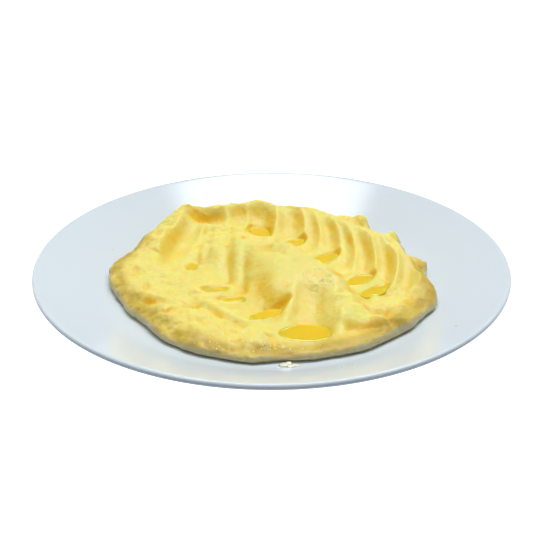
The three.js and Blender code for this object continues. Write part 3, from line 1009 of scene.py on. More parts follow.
    # Single lumps and, with a negative height, pits: x, y, height and radius.
    lumps: tuple[tuple[float, float, float, float], ...] = (
        (-51, 74, 1.2, 6), (-76, 44, 2.5, 8), (77, 52, 5.5, 4.5), (82, 42, 4, 5), (91, 12, 4.5, 3),
        (58, 66, 4.5, 6), (46, 70, 4, 6), (-10, 77, 2, 7), (27, 71, 2.4, 6), (75, -47, 1.6, 5),
        (38, -38, -2.4, 3.6), (1, 3, -1.6, 4), (-54, -27, -1, 3), (-46, -27, -0.8, 2.6),
    )
    # General unevenness: sine waves, each shorter than the last and turned by the golden angle.
    wave_count: int = 7
    wave_length: float = 44.0
    wave_ratio: float = 0.72
    wave_steepness: float = 0.011
    golden_angle: float = 2.39996
    wave_turn: float = 0.7
    wave_phase: tuple[float, float] = (1.7, 0.4)
    wave_sway: float = 1.3
    wave_sway_ratio: float = 1.7
    uneven_pressed: float = 0.25
    uneven_added: float = 1.5
    # Rounding of the crest and of the valley's foot, and where the mass changes, in millimetres.
    crest_rounding: float = 3.0
    crest_front_limit: float = 60.0
    face_foot_rounding: float = 4.0
    back_from: float = -30.0
    back_to: float = 50.0
    back_turn: float = 0.15
    front_drop: tuple[float, float] = (-60.0, -90.0)
    free_of_press: tuple[float, float] = (-1.0, 4.0)
    # Rounding of the corners where surfaces meet, in millimetres.
    scoop_blend: float = 0.8
    crest_blend: float = 1.5
    hump_blend: float = 4.0
    cut_blend: float = 4.0
    press_blend: float = 2.0
    press_edge_blend: float = 2.4
    bowl_blend: float = 1.0
    crest_steps: int = 4
    stroke_steps: int = 3
    crest_curve: Array = field(init=False)
    back_curve: Array = field(init=False)
    left_curve: Array = field(init=False)
    valley_curve: Array = field(init=False)
    stroke_curves: list[tuple[Stroke, Array]] = field(init=False)

    def __post_init__(self) -> None:
        """Draws the crest lines, the valley and the strokes once."""
        self.crest_curve = curve_through(self.centre_crest, self.crest_steps)
        self.back_curve = curve_through(self.back_crest, self.crest_steps)
        self.left_curve = curve_through(self.left_crest, self.crest_steps)
        self.valley_curve = curve_through(self.front_valley, self.crest_steps)
        self.stroke_curves = [
            (stroke, curve_through(stroke.path, self.stroke_steps))
            for stroke in self.flutes + self.folds
        ]

    def outline_radius(self, angle: Array) -> Array:
        """Radius of the widest line: a closed cubic through the outline, with a small ripple.

        Args:
            angle: Headings in radians.

        Returns:
            Radii in millimetres.
        """
        degrees = np.degrees(np.asarray(angle, float)) % 360
        headings = np.array([row[0] for row in self.outline], float)
        radii = np.array([row[1] for row in self.outline], float)
        count = len(headings)
        first = np.searchsorted(headings, degrees, side="right") - 1
        around = [first + offset for offset in (-1, 0, 1, 2)]
        at = [headings[index % count] + 360 * (index // count) for index in around]
        value = [radii[index % count] for index in around]
        span = at[2] - at[1]
        t = (degrees - at[1]) / span
        slope_in = (value[2] - value[0]) / (at[2] - at[0]) * span
        slope_out = (value[3] - value[1]) / (at[3] - at[1]) * span
        bend = t * t * (3 - 2 * t)
        ripple = sum(h * np.sin(n * np.radians(degrees) + phase) for n, phase, h in self.ripples)
        smooth = value[1] * (1 - bend) + value[2] * bend
        return smooth + ripple + slope_in * t * (1 - t) ** 2 - slope_out * t * t * (1 - t)

    def lowest_press(self, row: tuple[Press, ...], x: Array, y: Array, blend: float) -> Array:
        """The lowest of a row's bowls, blended where they meet.

        Args:
            row: The presses of the row.
            x: Plan places.
            y: Plan places.
            blend: How far the corner between two bowls is rounded.

        Returns:
            Heights in millimetres.
        """
        lowest = row[0].height(x, y, self.press_rise)
        for scoop in row[1:]:
            lowest = soft_min(lowest, scoop.height(x, y, self.press_rise), blend)
        return lowest

    def unevenness(self, x: Array, y: Array) -> Array:
        """Sine waves, each shorter than the last and turned by the golden angle.

        Args:
            x: Plan places.
            y: Plan places.

        Returns:
            How far they raise each place.
        """
        height = np.zeros(x.shape)
        length = self.wave_length
        for i in range(self.wave_count):
            turn = self.golden_angle * i + self.wave_turn
            phase = self.wave_phase[0] * i * i + self.wave_phase[1] * i
            u = x * math.cos(turn) + y * math.sin(turn)
            v = y * math.cos(turn) - x * math.sin(turn)
            sway = self.wave_sway * np.sin(2 * np.pi * v / (self.wave_sway_ratio * length) + phase)
            height += self.wave_steepness * length * np.sin(2 * np.pi * u / length + phase + sway)
            length *= self.wave_ratio
        return height

    def unpressed(self, x: Array, y: Array, backness: Array) -> Array:
        """The mass of potato before the spoon: the general level with its three crests.

        Args:
            x: Plan places.
            y: Plan places.
            backness: 0 at the front of the helping and 1 at its back.

        Returns:
            Heights in millimetres.
        """
        level = self.level_front + (self.level_back - self.level_front) * backness
        level = level - smooth_step(*self.front_drop, y)
        distance, side, crest = nearest_on(self.crest_curve, x, y)
        rounded = np.hypot(distance, self.crest_rounding) - self.crest_rounding
        ahead = np.minimum(distance, self.crest_front_limit)
        behind = self.crest_drop_back * rounded
        before = self.crest_drop_front * (ahead / self.crest_reach_front) ** 3
        hump = crest - np.where(side > 0, behind, before)
        distance, _, crest = nearest_on(self.back_curve, x, y)
        back = crest - distance**2 / (2 * self.back_crest_curve)
        distance, _, crest = nearest_on(self.left_curve, x, y)
        left = crest - distance**2 / (2 * self.left_crest_curve)
        rims = soft_max(back, left, self.crest_blend)
        return soft_max(soft_max(level, hump, self.hump_blend), rims, self.crest_blend)

    def surface(self, x: Array, y: Array) -> tuple[Array, Array, Array]:
        """The upper surface inside the outline.

        Args:
            x: Plan places.
            y: Plan places.

        Returns:
            Heights, how far each place is from being pressed (0 in a press, 1 well outside) and
            the distance inside the outline.
        """
        radius = np.hypot(x, y)
        inside = self.outline_radius(np.arctan2(y, x)) - radius
        backness = smooth_step(self.back_from, self.back_to, y + self.back_turn * x)
        distance, side, valley = nearest_on(self.valley_curve, x, y)
        rounded = np.hypot(distance, self.face_foot_rounding) - self.face_foot_rounding
        face = self.valley_face_slope * rounded
        bank = distance**2 / (2 * self.valley_bank_curve)
        back_cut = self.lowest_press(self.back_row, x, y, self.scoop_blend)
        cut = soft_min(valley + np.where(side > 0, face, bank), back_cut, self.scoop_blend)
        presses = self.lowest_press(self.front_presses, x, y, self.press_blend)
        bowls = soft_min(*(bowl.height(x, y) for bowl in self.front_bowls), self.bowl_blend)
        top = self.unpressed(x, y, backness)
        deepest = np.minimum(np.minimum(cut, presses), bowls)
        unpressed = smooth_step(*self.free_of_press, deepest - top)
        top = soft_min(soft_min(top, cut, self.cut_blend), presses, self.press_edge_blend)
        top = soft_min(top, bowls, self.cut_blend)
        for pool in self.pools:
            top = pool.seat(top, x, y)
        for stroke, curve in self.stroke_curves:
            distance, _, strength = nearest_on(curve, x, y)
            top = top + stroke.height * strength * np.exp(-((distance / stroke.width) ** 2))
        for lump_x, lump_y, height, size in self.lumps:
            top = top + height * np.exp(-((x - lump_x) ** 2 + (y - lump_y) ** 2) / size**2)
        uneven_share = self.uneven_pressed + self.uneven_added * unpressed
        top = top + self.unevenness(x, y) * uneven_share
        width = self.edge_width_front + (self.edge_width_back - self.edge_width_front) * backness
        outwards = 1 - np.clip(inside / width, 0, 1)
        shoulder = (1 - outwards**self.edge_roundness) ** (1 / self.edge_roundness)
        mass = top - self.plate.well_floor - self.lip
        return self.plate.top(radius) + self.lip + mass * shoulder, unpressed, inside


# ------------------------------------------------------------------ the potato


@dataclass(frozen=True)
class Patch:
    """A soft oval of the plan: its middle and its half sizes along X and Y."""

    x: float
    y: float
    half_x: float
    half_y: float

    def share(self, x: Array, y: Array) -> Array:
        """1 in the middle of the patch, falling smoothly to 0 outside it."""
        return np.exp(-(((x - self.x) / self.half_x) ** 2 + ((y - self.y) / self.half_y) ** 2))


@dataclass
class Skin:
    """What the zones of the potato's skin are worked out from, one row for each of its points.

    The points, how far each is pressed (0 to 1), its distance inside the outline, how steep it is
    (0 level, 1 upright) and how far the small relief lowers it.
    """

    points: Array
    pressed: Array
    inside: Array
    steep: Array
    dips: Array


@dataclass(frozen=True)
class ButterSpread:
    """How the melted butter lies on the potato: where it reaches and gathers, and where painted
    shade deepens its colour on steep and front faces, in dips and along the front foot.

    Lengths are in millimetres. A weight says how much its cause adds to a zone.
    """

    seed: int = 32
    patch_size: float = 9.0
    back: tuple[float, float] = (10.0, 50.0)
    back_turn: float = 0.2
    bare_edge: float = 0.8
    bare_edge_back: float = 1.4
    bare_fade: tuple[float, float] = (-0.8, 1.2)
    bare_uneven: float = 0.5
    hollow_reaches: tuple[tuple[float, float], ...] = ((7.0, 0.2), (3.0, 0.4))
    shore_reach: float = 3.5
    shore_weight: float = 0.6
    hem_middle: float = 4.0
    hem_width: float = 6.0
    # Painted shade: steep faces, the pressed front faces, the relief's dips and the front foot go
    # golden.
    slopes: tuple[float, float] = (0.03, 0.4)
    slope_shade_weight: float = 0.65
    shaded_front_faces: Patch = Patch(5, -38, 28, 16)
    face_shade_weight: float = 0.25
    hollow_weight: float = 0.6
    hollow_uneven: float = 0.2
    dip_shade_weight: float = 0.75
    hollow_hem_shade: float = 0.2
    # Painted shade along the front foot, more to the right and in the relief's dips:
    hem_shade_base: float = 0.78
    hem_shade_right: float = 0.2
    right: tuple[float, float] = (0.0, 55.0)
    hem_shade_uneven: float = 0.3
    hem_shade_dips: float = 0.5
    hem_shade_most: float = 0.95
    wet_base: float = 0.25
    wet_pressed: float = 0.55
    wet_uneven: float = 0.3
    grainy_crest: Patch = Patch(26, -28, 14, 10)
    grainy_front: Patch = Patch(-8, -81, 34, 8)

    @staticmethod
    def sunken(form: MashForm, x: Array, y: Array, reach: float) -> Array:
        """How far the surface lies below its surroundings.

        Args:
            form: The potato's form.
            x: Plan places.
            y: Plan places.
            reach: How far away the surroundings are taken.

        Returns:
            Millimetres, positive in hollows.
        """
        middle, _, _ = form.surface(x, y)
        total = np.zeros(x.shape)
        for turn in np.arange(8) * np.pi / 4:
            around, _, _ = form.surface(x + reach * np.cos(turn), y + reach * np.sin(turn))
            total += around / 8
        return total - middle

    def zones(self, form: MashForm, skin: Skin) -> dict[Zone, Array]:
        """Works out every zone of the skin.

        Args:
            form: The potato's form.
            skin: The skin's points and their measures.

        Returns:
            One share for each point, for each zone.
        """
        x, y = skin.points[:, 0], skin.points[:, 1]
        uneven = fractal_noise(skin.points, self.patch_size, self.seed)
        backness = smooth_step(*self.back, y + self.back_turn * x)
        bare = self.bare_edge + self.bare_edge_back * backness
        buttered = smooth_step(*self.bare_fade, skin.inside - bare + self.bare_uneven * uneven)
        sunk = np.zeros(x.shape)
        for reach, weight in self.hollow_reaches:
            sunk = sunk + weight * self.sunken(form, x, y, reach)
        for pool in form.pools:
            sunk = sunk + self.shore_weight * smooth_step(self.shore_reach, 0.0, pool.outside(x, y))
        hem = (1 - backness) * np.exp(-(((skin.inside - self.hem_middle) / self.hem_width) ** 2))
        faces = self.shaded_front_faces.share(x, y) * skin.pressed
        # Golden where butter gathers in hollows and by the pools, plus painted shade on steep and front
        # faces and in dips.
        hollow_and_shade = self.hollow_weight * sunk + self.slope_shade_weight * smooth_step(*self.slopes, skin.steep)
        hollow_and_shade = hollow_and_shade + self.face_shade_weight * faces + self.hollow_uneven * uneven
        hollow_and_shade = hollow_and_shade + self.dip_shade_weight * skin.dips + self.hollow_hem_shade * hem
        # Painted shade: the front foot goes olive, more on the right and in dips.
        hem_shade = self.hem_shade_base + self.hem_shade_right * smooth_step(*self.right, x)
        hem_shade = hem_shade + self.hem_shade_uneven * uneven + self.hem_shade_dips * skin.dips
        wet = self.wet_base + self.wet_pressed * skin.pressed + self.wet_uneven * uneven
        grainy = np.maximum(self.grainy_crest.share(x, y), self.grainy_front.share(x, y))
        return {
            Zone.BUTTERED: buttered,
            Zone.HOLLOW_AND_SHADE: np.clip(hollow_and_shade, 0, 1),
            Zone.WET: np.clip(wet, 0, 1) * buttered,
            Zone.GRAINY: np.clip(grainy, 0, 1) * buttered,
            Zone.HEM_SHADE: np.clip(hem * hem_shade, 0, self.hem_shade_most),
        }


@dataclass(frozen=True)
class Lumpiness:
    """Lumps of one size in millimetres, and how high they stand.

    The height everywhere, what is added to it where the spoon hasn't pressed, and what is added
    on the crags of the back edge.
    """

    size: float
    seed: int
    everywhere: float
    unpressed: float
    crags: float

    def relief(self, points: Array, unpressed: Array, crags: Array) -> Array:
        """How far the lumps raise each point."""
        amount = self.everywhere + self.unpressed * unpressed + self.crags * crags
        return fractal_noise(points, self.size, self.seed) * amount


@dataclass
class Potato:
    """The helping of potato: one closed mesh of fine rings, with its small relief."""

    form: MashForm
    rings: int = 172
    crowding: float = 1.3
    under_share: float = 0.86
    lumpiness: tuple[Lumpiness, ...] = (
        Lumpiness(7.0, 11, 0.24, 0.46, 0.5),
        Lumpiness(2.6, 18, 0.11, 0.12, 0.2),
    )
    crag_back: tuple[float, float] = (20.0, 60.0)
    crag_turn: float = 0.25
    crag_width: tuple[float, float] = (4.0, 16.0)
    hem_width: float = 5.0
    hem_size: float = 3.2
    hem_height: float = 0.35
    hem_seed: int = 24

    def grid(self) -> tuple[Array, Array]:
        """Lays out the rings: 6, 12, 18 ... points from the centre out to the outline.

        Returns:
            Share of the outline's radius, and heading in radians, of every point.
        """
        shares, angles = [np.zeros(1)], [np.zeros(1)]
        for ring in range(1, self.rings + 1):
            share = 1 - (1 - ring / self.rings) ** self.crowding
            shares.append(np.full(6 * ring, share))
            angles.append(2 * np.pi * np.arange(6 * ring) / (6 * ring))
        return np.concatenate(shares), np.concatenate(angles)

    def ring_faces(self) -> list[Array]:
        """Triangles between each ring and the next.

        Returns:
            Rows of three indices, array by array.
        """
        faces = []
        inner, inner_count = 0, 1
        outer = 1
        for ring in range(1, self.rings + 1):
            side, i = np.divmod(np.arange(6 * ring), ring)
            a = outer + side * ring + i
            b = outer + (side * ring + i + 1) % (6 * ring)
            c = inner + (side * (ring - 1) + i) % inner_count
            faces.append(np.stack([a, b, c], axis=1))
            later = i > 0
            d = inner + (side * (ring - 1) + i - 1) % inner_count
            faces.append(np.stack([a, c, d], axis=1)[later])
            inner, inner_count = outer, 6 * ring
            outer += 6 * ring
        return faces

    def underside(self, angle: Array) -> Array:
        """The foot under the widest line, a ring where the well is flat, and the middle.

        Args:
            angle: Heading in radians of each point of the outline.

        Returns:
            Rows of x, y, z, which follow the plate at the form's gap.
        """
        rows = []
        for fraction, inset in ((1.0, self.form.undercut), (self.under_share, 0.0)):
            r = self.form.outline_radius(angle) * fraction - inset
            height = self.form.plate.top(r) + self.form.gap
            rows.append(np.stack([r * np.cos(angle), r * np.sin(angle), height], axis=1))
        rows.append(np.array([[0, 0, self.form.plate.well_floor + self.form.gap]]))
        return np.vstack(rows)

    def underside_faces(self, edge: Array) -> list[Array]:
        """Triangles from the outline down to the foot, in under the helping and to its middle.

        Args:
            edge: Indices of the outline's points, which the underside's points follow.

        Returns:
            Rows of three indices, array by array.
        """
        foot = edge + len(edge)
        under = foot + len(edge)
        centre = under[-1] + 1
        faces = []
        for outer, inner in ((edge, foot), (foot, under)):
            ahead_outer, ahead_inner = np.roll(outer, -1), np.roll(inner, -1)
            faces.append(np.stack([ahead_outer, outer, inner], axis=1))
            faces.append(np.stack([ahead_outer, inner, ahead_inner], axis=1))
        faces.append(np.stack([np.roll(under, -1), under, np.full(len(edge), centre)], axis=1))
        return faces

    @staticmethod
    def normals(points: Array, triangles: Array) -> Array:
        """Unit normals at the points, weighted by the areas of the triangles around them.

        Args:
            points: Rows of x, y, z.
            triangles: Rows of three indices.

        Returns:
            One unit vector for each point.
        """
        a, b, c = (points[triangles[:, k]] for k in range(3))
        cross = np.cross(b - a, c - a)
        total = np.zeros_like(points)
        for k in range(3):
            np.add.at(total, triangles[:, k], cross)
        return total / np.maximum(np.linalg.norm(total, axis=1, keepdims=True), TINY)

    def relief(self, points: Array, unpressed: Array, inside: Array) -> Array:
        """How far the small lumps and crags raise the upper surface along its normals.

        Args:
            points: The smooth surface.
            unpressed: 0 in a press and 1 well outside.
            inside: Distance inside the outline.

        Returns:
            Millimetres, one for each point.
        """
        x, y = points[:, 0], points[:, 1]
        crags = smooth_step(*self.crag_back, y + self.crag_turn * x)
        crags = crags * (1 - smooth_step(*self.crag_width, inside))
        total = np.zeros(len(points))
        for lumps in self.lumpiness:
            total += lumps.relief(points, unpressed, crags)
        hem = 1 - smooth_step(0, self.hem_width, inside)
        return total + hem * value_noise(points, self.hem_size, self.hem_seed) * self.hem_height

    def build(self) -> bpy.types.Object:
        """Builds the mesh, measures its zones and dresses it.

        Returns:
            The finished potato.
        """
        share, angle = self.grid()
        radius = share * self.form.outline_radius(angle)
        x, y = radius * np.cos(angle), radius * np.sin(angle)
        height, unpressed, inside = self.form.surface(x, y)
        top = np.stack([x, y, height], axis=1)
        edge = np.arange(len(top) - 6 * self.rings, len(top))
        smooth = np.vstack([top, self.underside(angle[edge])])
        triangles = np.vstack(self.ring_faces() + self.underside_faces(edge))
        normals = self.normals(smooth, triangles)
        hidden = (0, len(smooth) - len(top))
        raised = np.pad(self.relief(top, unpressed, inside), hidden)
        rough = smooth + normals * raised[:, None]
        piece = mesh_object("mashed_potato", rough, triangles, MashedPotato().material())
        skin = Skin(
            points=rough,
            pressed=np.pad(1 - unpressed, hidden),
            inside=np.pad(inside, hidden),
            steep=1 - normals[:, 2],
            dips=np.sum((smooth - rough) * normals, axis=1),
        )
        for zone, values in ButterSpread().zones(self.form, skin).items():
            set_attribute(piece.data, zone, values)
        dress(piece, Slot.POTATO, "mash")
        return piece


# ------------------------------------------------------------------ the butter


class Ground:
    """The potato's finished surface, felt from above."""

    above: float = 100.0

    def __init__(self, piece: bpy.types.Object) -> None:
        """Prepares a surface for rays.

        Args:
            piece: The finished piece, with its mesh in metres.
        """
        mesh = piece.data
        corners = [tuple(polygon.vertices) for polygon in mesh.polygons]
        self.tree = BVHTree.FromPolygons([vertex.co / MM for vertex in mesh.vertices], corners)

    def heights(self, x: Array, y: Array) -> Array:
        """Feels the height of the surface.

        Args:
            x: Plan places.
            y: Plan places.

        Returns:
            Heights in millimetres, 0 where there is no surface.
        """
        down = Vector((0, 0, -1))
        starts = (Vector((*place, self.above)) for place in zip(x.ravel(), y.ravel()))
        found = [self.tree.ray_cast(start, down)[0] for start in starts]
        return np.array([0.0 if place is None else place.z for place in found]).reshape(x.shape)


@dataclass
class ButterPool:
    """Melted butter standing in its seat, up to its level, with a bead along its edge."""

    number: int
    pool: Pool
    step: float = 0.25
    margin: float = 1.5
    bead_height: float = 0.38
    bead_place: float = 0.7
    bead_width: float = 0.55
    least_slope: float = 0.12
    sunk: float = 0.4
    full_depth: float = 0.9

    def build(self, ground: Ground, material: bpy.types.Material) -> bpy.types.Object:
        """Builds the pool as a closed sheet that reaches just into the potato.

        Args:
            ground: The potato's surface.
            material: The butter's finish.

        Returns:
            The finished pool.
        """
        pool, half = self.pool, self.margin + self.pool.half_length
        line = np.linspace(-half, half, int(2 * half / self.step) + 1)
        gx, gy = np.meshgrid(pool.x + line, pool.y + line)
        height = ground.heights(gx, gy)
        slope = np.hypot(*np.gradient(height, self.step))
        shore = (pool.level - height) / np.maximum(slope, self.least_slope)
        bead = self.bead_height * np.exp(-(((shore - self.bead_place) / self.bead_width) ** 2))
        keep = (pool.outside(gx, gy) <= self.margin) & (height < pool.level + self.sunk)
        return self.closed_sheet(gx, gy, pool.level + bead, height, keep, material)

    def closed_sheet(
        self, gx: Array, gy: Array, top: Array, ground: Array, keep: Array, material: bpy.types.Material
    ) -> bpy.types.Object:
        """Closes the kept grid cells into a thin solid.

        Args:
            gx: Plan places of the grid.
            gy: Plan places of the grid.
            top: Heights of the liquid's surface.
            ground: Heights of the potato below it.
            keep: Which grid points belong to the pool.
            material: The butter's finish.

        Returns:
            The finished pool.
        """
        cells = keep[:-1, :-1] & keep[1:, :-1] & keep[:-1, 1:] & keep[1:, 1:]
        width = gx.shape[1]
        row, column = np.nonzero(cells)
        a = row * width + column
        quads = np.stack([a, a + 1, a + 1 + width, a + width], axis=1)
        used = np.unique(quads)
        index = np.full(gx.size, -1)
        index[used] = np.arange(len(used))
        quads = index[quads]
        gx, gy, top, ground = (array.ravel()[used] for array in (gx, gy, top, ground))
        upper = np.stack([gx, gy, top], axis=1)
        lower = np.stack([gx, gy, np.minimum(ground, top) - self.sunk], axis=1)
        count = len(used)
        edges = {
            (start, end) for quad in quads.tolist() for start, end in zip(quad, quad[1:] + quad[:1])
        }
        sides = [[b, a, a + count, b + count] for a, b in sorted(edges) if (b, a) not in edges]
        faces = quads.tolist() + (quads[:, ::-1] + count).tolist() + sides
        piece = mesh_object(f"melted_butter_{self.number}", np.vstack([upper, lower]), faces, material)
        depth = np.clip((self.pool.level - ground) / self.full_depth, 0, 1)
        set_attribute(piece.data, Zone.HOLLOW_AND_SHADE, np.concatenate([depth, depth]))
        dress(piece, Slot.BUTTER, f"butter_pool_{self.number}")
        return piece


# ------------------------------------------------------------------ grains and crumbs


@dataclass
class WetGrains:
    """Grains of potato that stand in the film of butter, where the surface is coarse."""

    per_square_metre: float = 115000.0
    smallest_mm: float = 0.5
    largest_mm: float = 1.2
    flatness: float = 0.5
    contrast: float = 2.0
    ball_detail: int = 2
    seed: int = 5

    def node_group(self, material: bpy.types.Material) -> bpy.types.NodeTree:
        """Builds the scatter: points on the grainy zone, a small ball on each, all made real.

        Args:
            material: The grains' finish.

        Returns:
            The geometry node group.
        """
        group = bpy.data.node_groups.new("wet_grains", "GeometryNodeTree")
        sockets = (
            ("Geometry", "INPUT", "NodeSocketGeometry"), ("Density", "INPUT", "NodeSocketFloat"),
            ("Smallest", "INPUT", "NodeSocketFloat"), ("Largest", "INPUT", "NodeSocketFloat"),
            ("Flatness", "INPUT", "NodeSocketFloat"), ("Seed", "INPUT", "NodeSocketInt"),
            ("Geometry", "OUTPUT", "NodeSocketGeometry"),
        )
        for name, way, kind in sockets:
            group.interface.new_socket(name=name, in_out=way, socket_type=kind)
        given = add_node(group, "NodeGroupInput")
        zone = add_node(
            group, "GeometryNodeInputNamedAttribute", {"data_type": "FLOAT"}, {"Name": Zone.GRAINY.value}
        )
        contrast = add_node(
            group, "ShaderNodeMath", {"operation": "POWER"}, {1: self.contrast},
            {0: zone.outputs["Attribute"]},
        )
        density = add_node(
            group, "ShaderNodeMath", {"operation": "MULTIPLY"},
            links={0: contrast.outputs["Value"], 1: given.outputs["Density"]},
        )
        points = add_node(
            group, "GeometryNodeDistributePointsOnFaces",
            links={
                "Mesh": given.outputs["Geometry"], "Density": density.outputs["Value"],
                "Seed": given.outputs["Seed"],
            },
        )
        ball = add_node(
            group, "GeometryNodeMeshIcoSphere",
            values={"Radius": 1.0, "Subdivisions": self.ball_detail},
        )
        size = add_node(
            group, "FunctionNodeRandomValue", {"data_type": "FLOAT"},
            links={
                2: given.outputs["Smallest"], 3: given.outputs["Largest"], "Seed": given.outputs["Seed"],
            },
        )
        height = add_node(
            group, "ShaderNodeMath", {"operation": "MULTIPLY"},
            links={0: size.outputs[1], 1: given.outputs["Flatness"]},
        )
        shape = add_node(
            group, "ShaderNodeCombineXYZ",
            links={"X": size.outputs[1], "Y": size.outputs[1], "Z": height.outputs["Value"]},
        )
        placed = add_node(
            group, "GeometryNodeInstanceOnPoints",
            links={
                "Points": points.outputs["Points"], "Instance": ball.outputs["Mesh"],
                "Rotation": points.outputs["Rotation"], "Scale": shape.outputs["Vector"],
            },
        )
        real = add_node(
            group, "GeometryNodeRealizeInstances", links={"Geometry": placed.outputs["Instances"]}
        )
        smooth = add_node(
            group, "GeometryNodeSetShadeSmooth", links={"Geometry": real.outputs["Geometry"]}
        )
        finish = add_node(
            group, "GeometryNodeSetMaterial", values={"Material": material},
            links={"Geometry": smooth.outputs["Geometry"]},
        )
        add_node(group, "NodeGroupOutput", links={"Geometry": finish.outputs["Geometry"]})
        return group

    def build(self, potato: bpy.types.Object) -> bpy.types.Object:
        """Scatters the grains over the potato and keeps them as a plain mesh.

        Args:
            potato: The potato, with its grainy zone stored.

        Returns:
            The finished grains.
        """
        group = self.node_group(ButteredGrain().material())
        carrier = bpy.data.objects.new("grain_carrier", potato.data.copy())
        bpy.context.scene.collection.objects.link(carrier)
        modifier = carrier.modifiers.new("grains", "NODES")
        modifier.node_group = group
        chosen = {
            "Density": self.per_square_metre, "Smallest": self.smallest_mm * MM / 2,
            "Largest": self.largest_mm * MM / 2, "Flatness": self.flatness, "Seed": self.seed,
        }
        for item in group.interface.items_tree:
            if item.item_type == "SOCKET" and item.in_out == "INPUT" and item.name in chosen:
                modifier[item.identifier] = chosen[item.name]
        evaluated = carrier.evaluated_get(bpy.context.evaluated_depsgraph_get())
        mesh = bpy.data.meshes.new_from_object(evaluated)
        bpy.data.objects.remove(carrier, do_unlink=True)
        piece = bpy.data.objects.new("potato_grains", mesh)
        bpy.context.scene.collection.objects.link(piece)
        dress(piece, Slot.POTATO)
        return piece


@dataclass
class PlateCrumbs:
    """Bits of potato that fell on the plate, most of them in front of the helping.

    Each crumb is given by its place, width and height. It is a lumpy ball, sunk a little into the
    plate so that its underside is flat against it.
    """

    plate: DinnerPlate
    crumbs: tuple[tuple[float, float, float, float], ...] = (
        (6.5, -92.5, 4.2, 1.3), (9.8, -94.2, 3.4, 1.0), (12.8, -93.0, 3.0, 0.9),
        (9.0, -90.8, 3.4, 1.6), (15.0, -95.0, 1.4, 0.5), (3.5, -96.0, 1.2, 0.5),
        (36.0, -101.0, 1.1, 0.4), (41.0, -99.5, 0.9, 0.4), (97.0, -66.0, 1.6, 0.6),
        (-96.0, 38.0, 1.0, 0.4),
    )
    rings: int = 12
    lump_share: float = 0.65
    lump_height: float = 0.28
    seat: float = 0.42
    seed: int = 31
    finish: ButteredGrain = ButteredGrain("f3ecd2", 0.3)

    def ball(self) -> Array:
        """Lays out a ball of radius 1, ring by ring, with its two poles last.

        Returns:
            Rows of x, y, z.
        """
        theta = np.linspace(0, np.pi, self.rings + 1)[1:-1]
        phi = np.arange(2 * self.rings) * np.pi / self.rings
        turn, rise = np.meshgrid(phi, theta)
        flat = np.sin(rise)
        rows = np.stack([flat * np.cos(turn), flat * np.sin(turn), np.cos(rise)], axis=-1)
        return np.vstack([rows.reshape(-1, 3), [(0, 0, 1), (0, 0, -1)]])

    def ball_faces(self, start: int) -> list[list[int]]:
        """Faces of one ball.

        Args:
            start: Index of the ball's first point.

        Returns:
            Corner indices of each face.
        """
        across = 2 * self.rings
        last = start + (self.rings - 2) * across
        top, bottom = last + across, last + across + 1
        faces = []
        for i in range(across):
            ahead = (i + 1) % across
            for row in range(start, last, across):
                faces.append([row + ahead, row + i, row + across + i, row + across + ahead])
            faces.append([start + i, start + ahead, top])
            faces.append([last + ahead, last + i, bottom])
        return faces

    def build(self) -> bpy.types.Object:
        """Builds every crumb as a small lumpy ball pressed flat on the plate.

        Returns:
            The crumbs, as one piece.
        """
        ball = self.ball()
        vertices, faces = [], []
        for index, (x, y, width, height) in enumerate(self.crumbs):
            lumps = fractal_noise(ball, self.lump_share, self.seed + index)
            crumb = ball * (1 + self.lump_height * lumps)[:, None]
            crumb = crumb * (width / 2, width / 2, height / 2) + (x, y, 0)
            crumb[:, 2] += float(self.plate.top(math.hypot(x, y))) + self.seat * height
            vertices.append(crumb)
            faces += self.ball_faces(index * len(ball))
        piece = mesh_object("plate_crumbs", np.vstack(vertices), faces, self.finish.material())
        dress(piece, Slot.POTATO)
        return piece


# ------------------------------------------------------------------ the studio


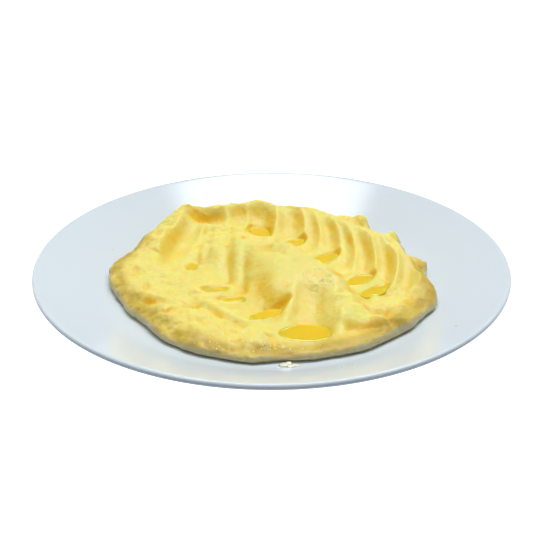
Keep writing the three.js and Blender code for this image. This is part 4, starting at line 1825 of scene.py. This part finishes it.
@dataclass
class Studio:
    """Plain white paper, soft lights and the camera.

    The soft box is placed on the plane of the ceiling, where a direction's place is its X and Y
    over its Z: middles, half sizes and the widths of its soft edges along X and along Y.
    """

    floor_half: float = 3000.0
    aim: tuple[float, float, float] = (1.9, -17.3, 21.0)
    distance: float = 665.3
    elevation: float = 26.7
    sensor_mm: float = 36.0
    view_angle: float = 26.0
    nearest: float = 10.0
    farthest: float = 20000.0
    box_middle: tuple[float, float] = (0.12, 0.36)
    box_half: tuple[float, float] = (0.55, 0.22)
    box_feather: tuple[float, float] = (0.25, 0.12)
    box_strength: float = 7.6
    room_strength: float = 0.41
    room_colour: str = "f0f6fc"
    horizon: float = 0.02

    def build_floor(self) -> None:
        """Lays the paper under the foot ring."""
        half = self.floor_half
        corners = np.array([(-half, -half, 0), (half, -half, 0), (half, half, 0), (-half, half, 0)])
        mesh_object("studio_floor", corners, [[0, 1, 2, 3]], StudioPaper().material())

    def build_camera(self) -> None:
        """Places the camera at a standing eater's view."""
        data = bpy.data.cameras.new("camera")
        data.sensor_width = self.sensor_mm
        data.lens = self.sensor_mm / 2 / math.tan(math.radians(self.view_angle / 2))
        data.clip_start, data.clip_end = self.nearest * MM, self.farthest * MM
        camera = bpy.data.objects.new("camera", data)
        bpy.context.scene.collection.objects.link(camera)
        up = math.radians(self.elevation)
        back = Vector((0, -math.cos(up), math.sin(up)))
        camera.location = (Vector(self.aim) + back * self.distance) * MM
        camera.rotation_euler = (-back).to_track_quat("-Z", "Y").to_euler()
        bpy.context.scene.camera = camera

    def box_share(self, tree: bpy.types.NodeTree) -> bpy.types.NodeSocket:
        """Adds the nodes that say how much of the soft box a direction sees.

        Args:
            tree: The world's node tree.

        Returns:
            A socket that is 1 inside the box and falls softly to 0 outside it.
        """
        place = add_node(tree, "ShaderNodeTexCoord")
        axes = add_node(tree, "ShaderNodeSeparateXYZ", links={0: place.outputs["Generated"]})
        above = add_node(
            tree, "ShaderNodeMath", {"operation": "MAXIMUM"}, {1: self.horizon},
            {0: axes.outputs["Z"]},
        )
        shares = []
        for axis, middle, half, feather in zip(
            "XY", self.box_middle, self.box_half, self.box_feather
        ):
            flat = add_node(
                tree, "ShaderNodeMath", {"operation": "DIVIDE"},
                links={0: axes.outputs[axis], 1: above.outputs["Value"]},
            )
            off = add_node(
                tree, "ShaderNodeMath", {"operation": "SUBTRACT"}, {1: middle},
                {0: flat.outputs["Value"]},
            )
            away = add_node(
                tree, "ShaderNodeMath", {"operation": "ABSOLUTE"}, links={0: off.outputs["Value"]}
            )
            edge = add_node(
                tree, "ShaderNodeMapRange", {"interpolation_type": "SMOOTHSTEP"},
                {"From Min": half + feather / 2, "From Max": half - feather / 2},
                {"Value": away.outputs["Value"]},
            )
            shares.append(edge.outputs["Result"])
        lit = add_node(
            tree, "ShaderNodeMath", {"operation": "MULTIPLY"}, links=dict(enumerate(shares))
        )
        return lit.outputs["Value"]

    def build_lights(self) -> None:
        """Lights the room: an even pale room with one feathered soft box on its ceiling.

        The box's reflection in the glaze has straight, soft ends.
        """
        world = bpy.data.worlds.new("room")
        world.use_nodes = True
        tree = world.node_tree
        tree.nodes.clear()
        strength = add_node(
            tree, "ShaderNodeMath", {"operation": "MULTIPLY_ADD"},
            {1: self.box_strength, 2: self.room_strength}, {0: self.box_share(tree)},
        )
        room = add_node(
            tree, "ShaderNodeBackground", values={"Color": linear(self.room_colour)},
            links={"Strength": strength.outputs["Value"]},
        )
        add_node(tree, "ShaderNodeOutputWorld", links={"Surface": room.outputs["Background"]})
        bpy.context.scene.world = world
        bpy.context.scene.view_settings.view_transform = "Standard"
        bpy.context.scene.view_settings.look = "None"

    def build(self) -> None:
        """Builds floor, camera and lights."""
        self.build_floor()
        self.build_camera()
        self.build_lights()


def main() -> None:
    """Builds the plate, the potato, the butter and the studio in order."""
    logging.basicConfig(level=logging.INFO, format="%(name)s: %(message)s")
    plate = DinnerPlate()
    plate.build()
    potato_form = MashForm(plate)
    potato = Potato(potato_form).build()
    ground, butter = Ground(potato), MeltedButter().material()
    for number, pool in enumerate(potato_form.pools, 1):
        ButterPool(number, pool).build(ground, butter)
    WetGrains().build(potato)
    PlateCrumbs(plate).build()
    Studio().build()


if __name__ == "__main__":
    main()
